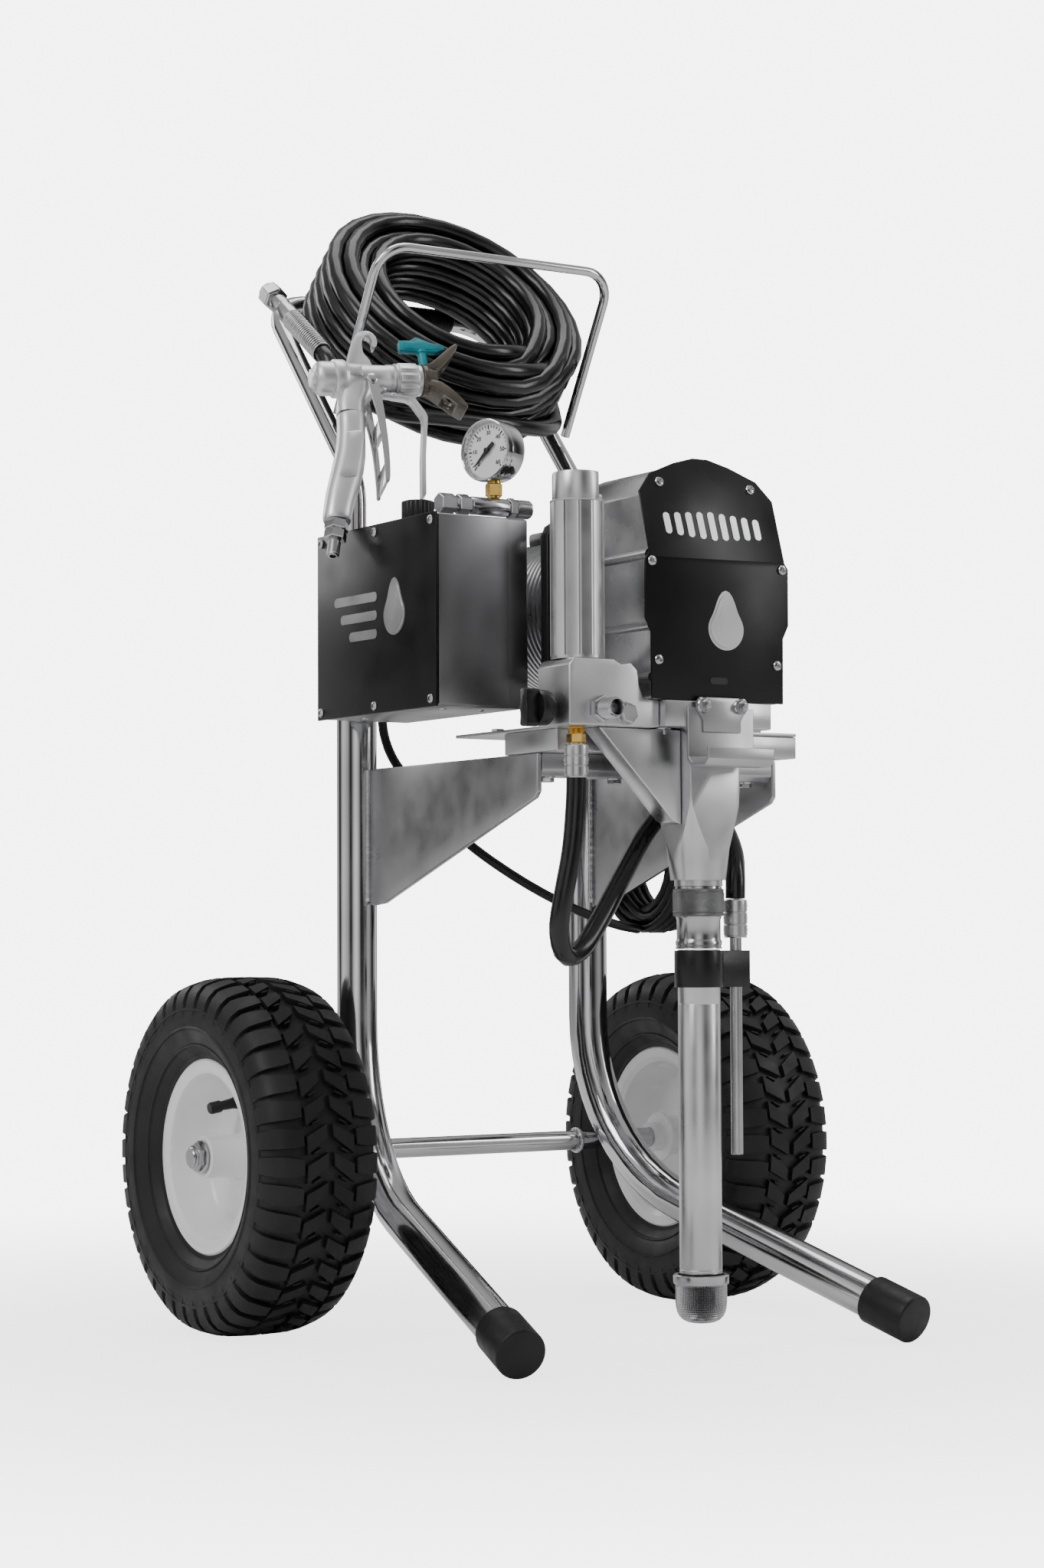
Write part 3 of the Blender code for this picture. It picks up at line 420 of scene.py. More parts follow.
def hex_bolt(name: str, at: Vector, along: Vector, size: float = 0.0065,
             roll: float = 0.0) -> Piece:
    """A hex head with a washer face, domed a little on top."""
    head = turned(name, [(size * 0.93, 0.001), (size, 0.0016), (size, size * 0.62),
                         (size * 0.88, size * 0.72)], Vector(), UP, 6)
    washer = turned(name, [(size * 1.12, 0.0), (size * 1.15, 0.0004), (size * 1.1, 0.0012)],
                    Vector(), UP, 28)
    return place(joined(name, [soften(head, 20.0), washer]), at, along, roll)


def hex_nut(name: str, at: Vector, along: Vector, size: float = 0.0065,
            stud: float = 0.0032) -> Piece:
    """A flanged nut on the end of its stud."""
    nut = turned(name, [(size * 0.93, 0.0012), (size, 0.0018), (size, size * 0.86),
                        (size * 0.86, size)], Vector(), UP, 6)
    flange = turned(name, [(size * 1.22, 0.0), (size * 1.25, 0.0005), (size * 1.12, 0.0015)],
                    Vector(), UP, 28)
    end = turned(name, [(stud, size), *thread(stud, size, 0.0024, 0.0008),
                        (stud * 0.7, size + 0.0028)], Vector(), UP, 20)
    return place(joined(name, [soften(nut, 20.0), flange, end]), at, along)


def pan_screw(name: str, size: float = 0.004) -> Piece:
    """A pan-head screw with a crossed recess, modelled upright at the origin."""
    head = turned(name, [(size * 0.96, 0.0), (size, 0.0004), (size, 0.001), (size * 0.86, 0.0019),
                         (size * 0.55, 0.0025), (size * 0.2, 0.0027)], Vector(), UP, 28)
    for turn in (0.0, pi / 2):
        wide, deep = size * 0.52, size * 0.13
        tool = block("recess", Vector((-wide, -deep, 0.0013)), Vector((wide, deep, 0.005)), 0.00005)
        carve(head, place(tool, Vector(), UP, turn + 0.4))
    return soften(head, 30.0)


def weld(name: str, points: list[Vector], width: float = 0.0034) -> Piece:
    """A rippled weld bead along a line."""
    route = eased_path(points, 0.0011) if len(points) > 2 else [
        points[0].lerp(points[1], tick / 90) for tick in range(91)]
    widths = [0.86 + 0.22 * abs(sin(index * 1.1)) + 0.06 * sin(index * 0.37)
              for index in range(len(route))]
    return tube(name, route, width, 2, widths)


# ---- finishes -----------------------------------------------------------------------------------
class Grain(Enum):
    """Which way a surface's fine marks run, as the stretch of its pattern along X, Y and Z."""

    EVEN = (1.0, 1.0, 1.0)
    ALONG_Y = (1.0, 0.04, 1.0)
    ALONG_Z = (1.0, 1.0, 0.04)


def new_group(name: str, inputs: list[tuple[str, str, object]], output: str) -> Tree:
    """Start a shader node group with named inputs and one value output."""
    tree = bpy.data.node_groups.new(name, "ShaderNodeTree")
    for label, kind, value in inputs:
        socket = tree.interface.new_socket(label, in_out="INPUT", socket_type=kind)
        if value is not None:
            socket.default_value = value
    tree.interface.new_socket(output, in_out="OUTPUT", socket_type="NodeSocketFloat")
    return tree


def mottle_group() -> Tree:
    """Broad uneven patches between a low and a high value."""
    tree = new_group("mottle", [("Vector", "NodeSocketVector", None),
                                ("Scale", "NodeSocketFloat", 30.0), ("Low", "NodeSocketFloat", 0.0),
                                ("High", "NodeSocketFloat", 1.0)], "Value")
    start = tree.nodes.new("NodeGroupInput")
    end = tree.nodes.new("NodeGroupOutput")
    noise = tree.nodes.new("ShaderNodeTexNoise")
    noise.inputs["Detail"].default_value = 1.5
    noise.inputs["Roughness"].default_value = 0.4
    spread = tree.nodes.new("ShaderNodeMapRange")
    spread.inputs["From Min"].default_value = 0.25
    spread.inputs["From Max"].default_value = 0.75
    tree.links.new(start.outputs["Vector"], noise.inputs["Vector"])
    tree.links.new(start.outputs["Scale"], noise.inputs["Scale"])
    tree.links.new(noise.outputs["Fac"], spread.inputs["Value"])
    tree.links.new(start.outputs["Low"], spread.inputs["To Min"])
    tree.links.new(start.outputs["High"], spread.inputs["To Max"])
    tree.links.new(spread.outputs["Result"], end.inputs["Value"])
    return tree


def grain_group() -> Tree:
    """Fine marks, drawn out along one direction, as a height."""
    tree = new_group("grain", [("Vector", "NodeSocketVector", None),
                               ("Stretch", "NodeSocketVector", (1.0, 1.0, 1.0)),
                               ("Scale", "NodeSocketFloat", 900.0)], "Height")
    start = tree.nodes.new("NodeGroupInput")
    end = tree.nodes.new("NodeGroupOutput")
    drawn = tree.nodes.new("ShaderNodeVectorMath")
    drawn.operation = "MULTIPLY"
    noise = tree.nodes.new("ShaderNodeTexNoise")
    noise.inputs["Detail"].default_value = 3.0
    tree.links.new(start.outputs["Vector"], drawn.inputs[0])
    tree.links.new(start.outputs["Stretch"], drawn.inputs[1])
    tree.links.new(drawn.outputs["Vector"], noise.inputs["Vector"])
    tree.links.new(start.outputs["Scale"], noise.inputs["Scale"])
    tree.links.new(noise.outputs["Fac"], end.inputs["Height"])
    return tree


def knurl_group() -> Tree:
    """Crossed ridges round an upright axis through the pattern's origin, as a height."""
    tree = new_group("knurl", [("Vector", "NodeSocketVector", None),
                               ("Turns", "NodeSocketFloat", 60.0),
                               ("Rise", "NodeSocketFloat", 1500.0)], "Height")
    start = tree.nodes.new("NodeGroupInput")
    end = tree.nodes.new("NodeGroupOutput")
    parts = tree.nodes.new("ShaderNodeSeparateXYZ")
    turn = tree.nodes.new("ShaderNodeMath")
    turn.operation = "ARCTAN2"
    wide = tree.nodes.new("ShaderNodeMath")
    wide.operation = "MULTIPLY"
    high = tree.nodes.new("ShaderNodeMath")
    high.operation = "MULTIPLY"
    tree.links.new(start.outputs["Vector"], parts.inputs["Vector"])
    tree.links.new(parts.outputs["Y"], turn.inputs[0])
    tree.links.new(parts.outputs["X"], turn.inputs[1])
    tree.links.new(turn.outputs["Value"], wide.inputs[0])
    tree.links.new(start.outputs["Turns"], wide.inputs[1])
    tree.links.new(parts.outputs["Z"], high.inputs[0])
    tree.links.new(start.outputs["Rise"], high.inputs[1])
    waves = []
    for operation in ("ADD", "SUBTRACT"):
        lean = tree.nodes.new("ShaderNodeMath")
        lean.operation = operation
        wave = tree.nodes.new("ShaderNodeMath")
        wave.operation = "SINE"
        tree.links.new(wide.outputs["Value"], lean.inputs[0])
        tree.links.new(high.outputs["Value"], lean.inputs[1])
        tree.links.new(lean.outputs["Value"], wave.inputs[0])
        waves.append(wave)
    both = tree.nodes.new("ShaderNodeMath")
    both.operation = "MINIMUM"
    tree.links.new(waves[0].outputs["Value"], both.inputs[0])
    tree.links.new(waves[1].outputs["Value"], both.inputs[1])
    tree.links.new(both.outputs["Value"], end.inputs["Height"])
    return tree


GROUPS = {"mottle": mottle_group(), "grain": grain_group(), "knurl": knurl_group()}


@dataclass(frozen=True)
class Finish:
    """One surface: two colours in patches, uneven gloss and fine marks.

    Attributes:
        name: The material's name.
        slot: The record's material slot it belongs to; not used.
        dark: The darker colour.
        light: The lighter colour.
        gloss: The lowest and highest roughness.
        metallic: 1 for bare metal.
        patch: The scale of the patches.
        grain: Which way the fine marks run.
        fine: The scale of the fine marks.
        bump: How deep the fine marks look, in metres.
        coat: How strong a clear coat is.
        shine: How much the surface mirrors, 0.5 for most.
    """

    name: str
    slot: str
    dark: Point
    light: Point
    gloss: Pair
    metallic: float = 0.0
    patch: float = 25.0
    grain: Grain = Grain.EVEN
    fine: float = 900.0
    bump: float = 0.00005
    coat: float = 0.0
    shine: float = 0.5

    def make(self) -> bpy.types.Material:
        """Build the material, or give the one already built."""
        if self.name in bpy.data.materials:
            return bpy.data.materials[self.name]
        material = bpy.data.materials.new(self.name)
        material.use_nodes = True
        material.diffuse_color = (*self.light, 1.0)
        tree = material.node_tree
        shader = tree.nodes["Principled BSDF"]
        shader.inputs["Metallic"].default_value = self.metallic
        shader.inputs["Coat Weight"].default_value = self.coat
        shader.inputs["Coat Roughness"].default_value = 0.08
        shader.inputs["Specular IOR Level"].default_value = self.shine
        where = tree.nodes.new("ShaderNodeTexCoord").outputs["Object"]
        patches = self.group(tree, "mottle", where, Scale=self.patch, Low=0.0, High=1.0)
        blend = tree.nodes.new("ShaderNodeMix")
        blend.data_type = "RGBA"
        blend.inputs["A"].default_value = (*self.dark, 1.0)
        blend.inputs["B"].default_value = (*self.light, 1.0)
        tree.links.new(patches.outputs["Value"], blend.inputs["Factor"])
        colour = self.paint(tree, where, blend.outputs["Result"])
        tree.links.new(colour, shader.inputs["Base Color"])
        low, high = self.gloss
        uneven = self.group(tree, "mottle", where, Scale=self.patch * 2.3, Low=low, High=high)
        tree.links.new(uneven.outputs["Value"], shader.inputs["Roughness"])
        marks = tree.nodes.new("ShaderNodeBump")
        marks.inputs["Strength"].default_value = 1.0
        marks.inputs["Distance"].default_value = self.bump
        tree.links.new(self.relief(tree, where), marks.inputs["Height"])
        tree.links.new(marks.outputs["Normal"], shader.inputs["Normal"])
        return material

    def group(self, tree: Tree, name: str, where: Socket, **values: object) -> bpy.types.Node:
        """Place a shared node group with its own values."""
        node = tree.nodes.new("ShaderNodeGroup")
        node.node_tree = GROUPS[name]
        tree.links.new(where, node.inputs["Vector"])
        for label, value in values.items():
            node.inputs[label].default_value = value
        return node

    def paint(self, tree: Tree, where: Socket, base: Socket) -> Socket:
        """Give the colour socket; a finish with a pattern adds it here."""
        return base

    def relief(self, tree: Tree, where: Socket) -> Socket:
        """Give the height socket of the fine marks."""
        marks = self.group(tree, "grain", where, Stretch=self.grain.value, Scale=self.fine)
        return marks.outputs["Height"]


@dataclass(frozen=True)
class KnurledFinish(Finish):
    """A metal whose face is cut with crossed ridges about an upright axis."""

    axis: Point = (0.0, 0.0, 0.0)
    turns: float = 60.0
    rise: float = 1500.0

    def paint(self, tree: Tree, where: Socket, base: Socket) -> Socket:
        """Darken the grooves between the ridges with painted shade."""
        shade = tree.nodes.new("ShaderNodeMix")
        shade.data_type = "RGBA"
        # painted shade: the dark grey mixed into the low grooves of the knurl
        shade.inputs["A"].default_value = (0.06, 0.06, 0.06, 1.0)
        spread = tree.nodes.new("ShaderNodeMapRange")
        spread.inputs["From Min"].default_value = -0.9
        spread.inputs["From Max"].default_value = 0.2
        tree.links.new(self.relief(tree, where), spread.inputs["Value"])
        tree.links.new(spread.outputs["Result"], shade.inputs["Factor"])
        tree.links.new(base, shade.inputs["B"])
        return shade.outputs["Result"]

    def relief(self, tree: Tree, where: Socket) -> Socket:
        """Give the height socket of the ridges."""
        centre = tree.nodes.new("ShaderNodeMapping")
        centre.inputs["Location"].default_value = tuple(-value for value in self.axis)
        tree.links.new(where, centre.inputs["Vector"])
        ridges = self.group(tree, "knurl", centre.outputs["Vector"], Turns=self.turns,
                            Rise=self.rise)
        return ridges.outputs["Height"]


CHROME = Finish("polished_chrome", "chrome_tube", (0.5, 0.5, 0.51), (0.66, 0.66, 0.67),
                (0.07, 0.15), 1.0, 14.0, Grain.ALONG_Z, 700.0, 0.000004)
BRUSHED = Finish("brushed_plate", "brushed_steel", (0.36, 0.36, 0.37), (0.5, 0.5, 0.51),
                 (0.26, 0.38), 1.0, 18.0, Grain.ALONG_Y, 1400.0, 0.000014)
STEEL = Finish("turned_steel", "brushed_steel", (0.4, 0.4, 0.41), (0.58, 0.58, 0.59), (0.16, 0.28),
               1.0, 30.0, Grain.EVEN, 900.0, 0.000002)
SATIN = Finish("satin_aluminium", "machined_aluminium", (0.54, 0.54, 0.55), (0.68, 0.68, 0.69),
               (0.26, 0.36), 1.0, 20.0, Grain.EVEN, 1500.0, 0.000006)
CAST = Finish("drawn_aluminium", "machined_aluminium", (0.52, 0.52, 0.53), (0.7, 0.7, 0.71),
              (0.22, 0.32), 1.0, 16.0, Grain.ALONG_Y, 1200.0, 0.00001)
GUN_METAL = Finish("tumbled_aluminium", "gun_aluminium", (0.66, 0.66, 0.67), (0.8, 0.8, 0.81),
                   (0.33, 0.42), 1.0, 18.0, Grain.EVEN, 900.0, 0.000003)
BRASS = Finish("yellow_brass", "brass", (0.62, 0.38, 0.08), (0.85, 0.58, 0.18), (0.16, 0.28), 1.0,
               90.0, Grain.EVEN, 1500.0, 0.000005)
RUBBER = Finish("moulded_rubber", "black_rubber", (0.004, 0.004, 0.004), (0.01, 0.01, 0.011),
                (0.34, 0.52), 0.0, 40.0, Grain.EVEN, 1600.0, 0.00006, shine=0.35)
TYRE = Finish("tyre_compound", "tyre_rubber", (0.005, 0.005, 0.005), (0.013, 0.013, 0.013),
              (0.4, 0.6), 0.0, 22.0, Grain.EVEN, 1300.0, 0.0001, shine=0.35)
HOSE = Finish("glossy_hose", "hose_rubber", (0.003, 0.003, 0.003), (0.007, 0.007, 0.007),
              (0.16, 0.28), 0.0, 30.0, Grain.EVEN, 700.0, 0.00006, shine=0.5)
BLACK = Finish("black_enamel", "black_paint", (0.003, 0.003, 0.003), (0.006, 0.006, 0.007),
               (0.24, 0.36), 0.0, 12.0, Grain.EVEN, 400.0, 0.000002, shine=0.32)
WHITE = Finish("white_enamel", "white_paint", (0.8, 0.8, 0.81), (0.88, 0.88, 0.89), (0.18, 0.3),
               0.0, 16.0, Grain.EVEN, 500.0, 0.00006, 0.3)
GREY = Finish("grey_brushed_sheet", "grey_sheet", (0.2, 0.2, 0.205), (0.34, 0.34, 0.35),
              (0.28, 0.4), 1.0, 10.0, Grain.ALONG_Z, 1500.0, 0.000012)
PLASTIC = Finish("black_moulding", "black_plastic", (0.004, 0.004, 0.004), (0.009, 0.009, 0.01),
                 (0.26, 0.4), 0.0, 60.0, Grain.EVEN, 1400.0, 0.00003, shine=0.4)
BRONZE = Finish("bronze_moulding", "bronze_plastic", (0.06, 0.048, 0.038), (0.12, 0.1, 0.08),
                (0.22, 0.36), 0.35, 50.0, Grain.EVEN, 1800.0, 0.00004, 0.2)
TEAL = Finish("teal_moulding", "teal_plastic", (0.0, 0.16, 0.2), (0.0, 0.27, 0.32), (0.28, 0.42),
              0.0, 70.0, Grain.EVEN, 2000.0, 0.00004)
# Dark enamel of the gauge's needle and scale; also the painted shade on the plates that stand for
# the cover slot's and the motor vents' shaded insides
NEEDLE_AND_OPENING_SHADE = Finish("needle_enamel_and_opening_shade", "needle_black", (0.008, 0.008, 0.008), (0.014, 0.014, 0.014),
                (0.35, 0.5), 0.0, 90.0)
# knurled steel whose grooves are darkened with painted shade
KNURLED = KnurledFinish("knurled_steel", "brushed_steel", (0.46, 0.46, 0.47), (0.6, 0.6, 0.61),
                        (0.24, 0.34), 1.0, 60.0, Grain.EVEN, 900.0, 0.0004,
                        axis=(0.0, -0.3665 + AXLE_Y, 0.0), turns=70.0, rise=3100.0)


def dress(piece: Piece, finish: Finish, body: str = "cart") -> Piece:
    """Give a piece its finish, put it on its body and report it.

    Args:
        piece: The finished piece, in place.
        finish: Its surface.
        body: The CAD body it moves with.

    Returns:
        The piece.
    """
    piece.data.materials.clear()
    piece.data.materials.append(finish.make())
    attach(piece, body)
    LOG.info("piece %s on %s in %s", piece.name, body, finish.name)
    return piece


# ---- the stage ----------------------------------------------------------------------------------
@dataclass
class Studio:
    """A pale floor, a pale sky with soft bands, and the camera."""

    camera_at: Point = (-1.5968, -2.4658, 0.362)
    azimuth: float = -32.537
    elevation: float = -2.886
    roll: float = -0.249
    lens: float = 71.51

    def build(self) -> None:
        """Build the camera, the floor and the lights."""
        self.aim()
        self.lay_floor()
        self.hang_lights()
        self.fill_sky()

    def aim(self) -> None:
        """Place the camera and make it the scene's camera."""
        turn, tip = radians(self.azimuth), radians(self.elevation)
        back = Vector((sin(turn) * cos(tip), -cos(turn) * cos(tip), sin(tip)))
        side = UP.cross(back).normalized()
        rise = back.cross(side)
        lean = radians(self.roll)
        right = side * cos(lean) + rise * sin(lean)
        up = rise * cos(lean) - side * sin(lean)
        lens = bpy.data.cameras.new("camera")
        lens.lens = self.lens
        lens.sensor_width = 36.0
        lens.clip_end = 100.0
        eye = bpy.data.objects.new("camera", lens)
        turned_to = Matrix((right, up, back)).transposed().to_4x4()
        eye.matrix_world = Matrix.Translation(self.camera_at) @ turned_to
        bpy.context.scene.collection.objects.link(eye)
        bpy.context.scene.camera = eye

    def lay_floor(self) -> None:
        """Lay a wide pale floor that fades into the sky."""
        clear()
        bpy.ops.mesh.primitive_circle_add(vertices=96, radius=14.0, fill_type="NGON")
        floor = bpy.context.object
        floor.name = "studio_floor"
        material = bpy.data.materials.new("studio_floor")
        material.use_nodes = True
        shader = material.node_tree.nodes["Principled BSDF"]
        shader.inputs["Base Color"].default_value = (0.93, 0.93, 0.93, 1.0)
        shader.inputs["Roughness"].default_value = 0.6
        shader.inputs["Specular IOR Level"].default_value = 0.2
        tree = material.node_tree
        reach = tree.nodes.new("ShaderNodeVectorMath")
        reach.operation = "LENGTH"
        fade = tree.nodes.new("ShaderNodeMapRange")
        fade.interpolation_type = "SMOOTHSTEP"
        fade.inputs["From Min"].default_value = 0.3
        fade.inputs["From Max"].default_value = 1.6
        fade.inputs["To Min"].default_value = 0.45
        path = tree.nodes.new("ShaderNodeLightPath")
        seen = tree.nodes.new("ShaderNodeMath")
        seen.operation = "MULTIPLY"
        glow = tree.nodes.new("ShaderNodeEmission")
        glow.inputs["Strength"].default_value = 6.0
        choice = tree.nodes.new("ShaderNodeMixShader")
        tree.links.new(tree.nodes.new("ShaderNodeTexCoord").outputs["Object"], reach.inputs[0])
        tree.links.new(reach.outputs["Value"], fade.inputs["Value"])
        tree.links.new(fade.outputs["Result"], seen.inputs[0])
        tree.links.new(path.outputs["Is Camera Ray"], seen.inputs[1])
        tree.links.new(seen.outputs["Value"], choice.inputs["Fac"])
        tree.links.new(shader.outputs["BSDF"], choice.inputs[1])
        tree.links.new(glow.outputs["Emission"], choice.inputs[2])
        tree.links.new(choice.outputs["Shader"], tree.nodes["Material Output"].inputs["Surface"])
        floor.data.materials.append(material)

    def hang_lights(self) -> None:
        """Hang the soft lights."""
        rig = (("key_light", (-2.4, -0.6, 2.4), 1.1, 1.8, 34.0),
               ("side_light", (2.2, -2.0, 1.8), 0.7, 2.0, 22.0),
               ("top_light", (0.2, 0.4, 3.2), 1.8, 1.8, 26.0),
               ("rear_light", (-0.8, 2.8, 1.8), 1.4, 1.4, 14.0))
        for name, where, wide, high, power in rig:
            lamp = bpy.data.lights.new(name, "AREA")
            lamp.shape = "RECTANGLE"
            lamp.size = wide
            lamp.size_y = high
            lamp.energy = power
            light = bpy.data.objects.new(name, lamp)
            light.location = where
            aim = Vector((0.0, 0.0, 0.55)) - Vector(where)
            light.rotation_euler = aim.to_track_quat("-Z", "Y").to_euler()
            bpy.context.scene.collection.objects.link(light)

    def fill_sky(self) -> None:
        """Fill the sky: plain and pale to look at, with soft dark bands for metal to reflect."""
        world = bpy.data.worlds.new("studio_sky")
        world.use_nodes = True
        bpy.context.scene.world = world
        tree = world.node_tree
        tree.nodes.clear()
        place_at = tree.nodes.new("ShaderNodeTexCoord")
        round_about = tree.nodes.new("ShaderNodeTexGradient")
        round_about.gradient_type = "RADIAL"
        bands = tree.nodes.new("ShaderNodeValToRGB")
        stops = ((0.0, 0.9), (0.07, 0.03), (0.15, 1.6), (0.24, 0.02), (0.36, 0.7), (0.44, 0.03),
                 (0.55, 1.5), (0.63, 0.02), (0.76, 0.9), (0.85, 0.02), (0.94, 1.4))
        ramp = bands.color_ramp
        ramp.interpolation = "EASE"
        ramp.elements[0].position, ramp.elements[1].position = 0.0, 1.0
        for index, (spot, value) in enumerate(stops):
            stop = ramp.elements[0] if index == 0 else ramp.elements.new(spot)
            stop.position = spot
            stop.color = (value, value, value, 1.0)
        ramp.elements[-1].color = (0.95, 0.95, 0.95, 1.0)
        parts = tree.nodes.new("ShaderNodeSeparateXYZ")
        overhead = tree.nodes.new("ShaderNodeMapRange")
        overhead.interpolation_type = "SMOOTHSTEP"
        overhead.inputs["From Min"].default_value = 0.35
        overhead.inputs["From Max"].default_value = 0.8
        mixed = tree.nodes.new("ShaderNodeMix")
        mixed.data_type = "RGBA"
        mixed.inputs["B"].default_value = (0.75, 0.75, 0.75, 1.0)
        seen = tree.nodes.new("ShaderNodeBackground")
        seen.inputs["Color"].default_value = (1.0, 1.0, 1.0, 1.0)
        seen.inputs["Strength"].default_value = 6.0
        felt = tree.nodes.new("ShaderNodeBackground")
        felt.inputs["Strength"].default_value = 0.7
        path = tree.nodes.new("ShaderNodeLightPath")
        choice = tree.nodes.new("ShaderNodeMixShader")
        out = tree.nodes.new("ShaderNodeOutputWorld")
        tree.links.new(place_at.outputs["Generated"], round_about.inputs["Vector"])
        tree.links.new(round_about.outputs["Fac"], bands.inputs["Fac"])
        tree.links.new(place_at.outputs["Generated"], parts.inputs["Vector"])
        tree.links.new(parts.outputs["Z"], overhead.inputs["Value"])
        tree.links.new(overhead.outputs["Result"], mixed.inputs["Factor"])
        tree.links.new(bands.outputs["Color"], mixed.inputs["A"])
        tree.links.new(mixed.outputs["Result"], felt.inputs["Color"])
        tree.links.new(path.outputs["Is Camera Ray"], choice.inputs["Fac"])
        tree.links.new(felt.outputs["Background"], choice.inputs[1])
        tree.links.new(seen.outputs["Background"], choice.inputs[2])
        tree.links.new(choice.outputs["Shader"], out.inputs["Surface"])


# ---- cords --------------------------------------------------------------------------------------
@dataclass
class Winding:
    """Turns of a hose or cord wound in layers about an axis, and the line that they follow.

    Attributes:
        at: The middle of the winding.
        axis: Its axis.
        low: The direction in its plane that hangs lowest, where an angle of 0 is.
        radii: The radius of each layer, outermost first.
        slots: Places along the axis in each layer, in the order they are wound.
        start: The angle at which the first turn starts, in degrees.
        jog: The angles between which a turn moves over to the next place, in degrees.
        wobble: How uneven the turns are, in metres.
    """

    at: Vector
    axis: Vector
    low: Vector
    radii: list[float]
    slots: list[list[float]]
    start: float
    jog: Pair
    wobble: float

    def spot(self, angle: float, radius: float, height: float) -> Vector:
        """A point at an angle in degrees, a radius and a height along the axis."""
        side = self.axis.cross(self.low)
        turn = radians(angle)
        return self.at + radius * (cos(turn) * self.low + sin(turn) * side) + height * self.axis

    def line(self, finish: float, step: float = 12.0) -> list[Vector]:
        """The wound turns' centreline.

        Args:
            finish: The angle at which the last turn ends, in degrees.
            step: The angle between points.

        Returns:
            The points from the first turn to the last.
        """
        places = [(radius, height) for radius, row in zip(self.radii, self.slots) for height in row]
        first, last = self.jog
        points = []
        for index, (radius, height) in enumerate(places):
            begin = self.start if index == 0 else last
            stop = finish if index == len(places) - 1 else first + 360.0
            count = max(2, round((stop - begin) / step))
            for tick in range(count + 1):
                angle = begin + (stop - begin) * tick / count
                sway = self.wobble * sin(radians(angle * 2 + index * 97))
                lift = self.wobble * sin(radians(angle * 3 + index * 41))
                points.append(self.spot(angle, radius + 0.5 * lift, height + sway))
            if index < len(places) - 1:
                wide, high = places[index + 1]
                width = last - first
                count = max(3, round(width / step))
                for tick in range(1, count):
                    share = tick / count
                    angle = first + width * share
                    sway = self.wobble * sin(radians(angle * 2 + (index + ease(share)) * 97))
                    lift = self.wobble * sin(radians(angle * 3 + (index + ease(share)) * 41))
                    points.append(self.spot(angle,
                                            radius + (wide - radius) * ease(share) + 0.5 * lift,
                                            height + (high - height) * ease(share) + sway))
        return points


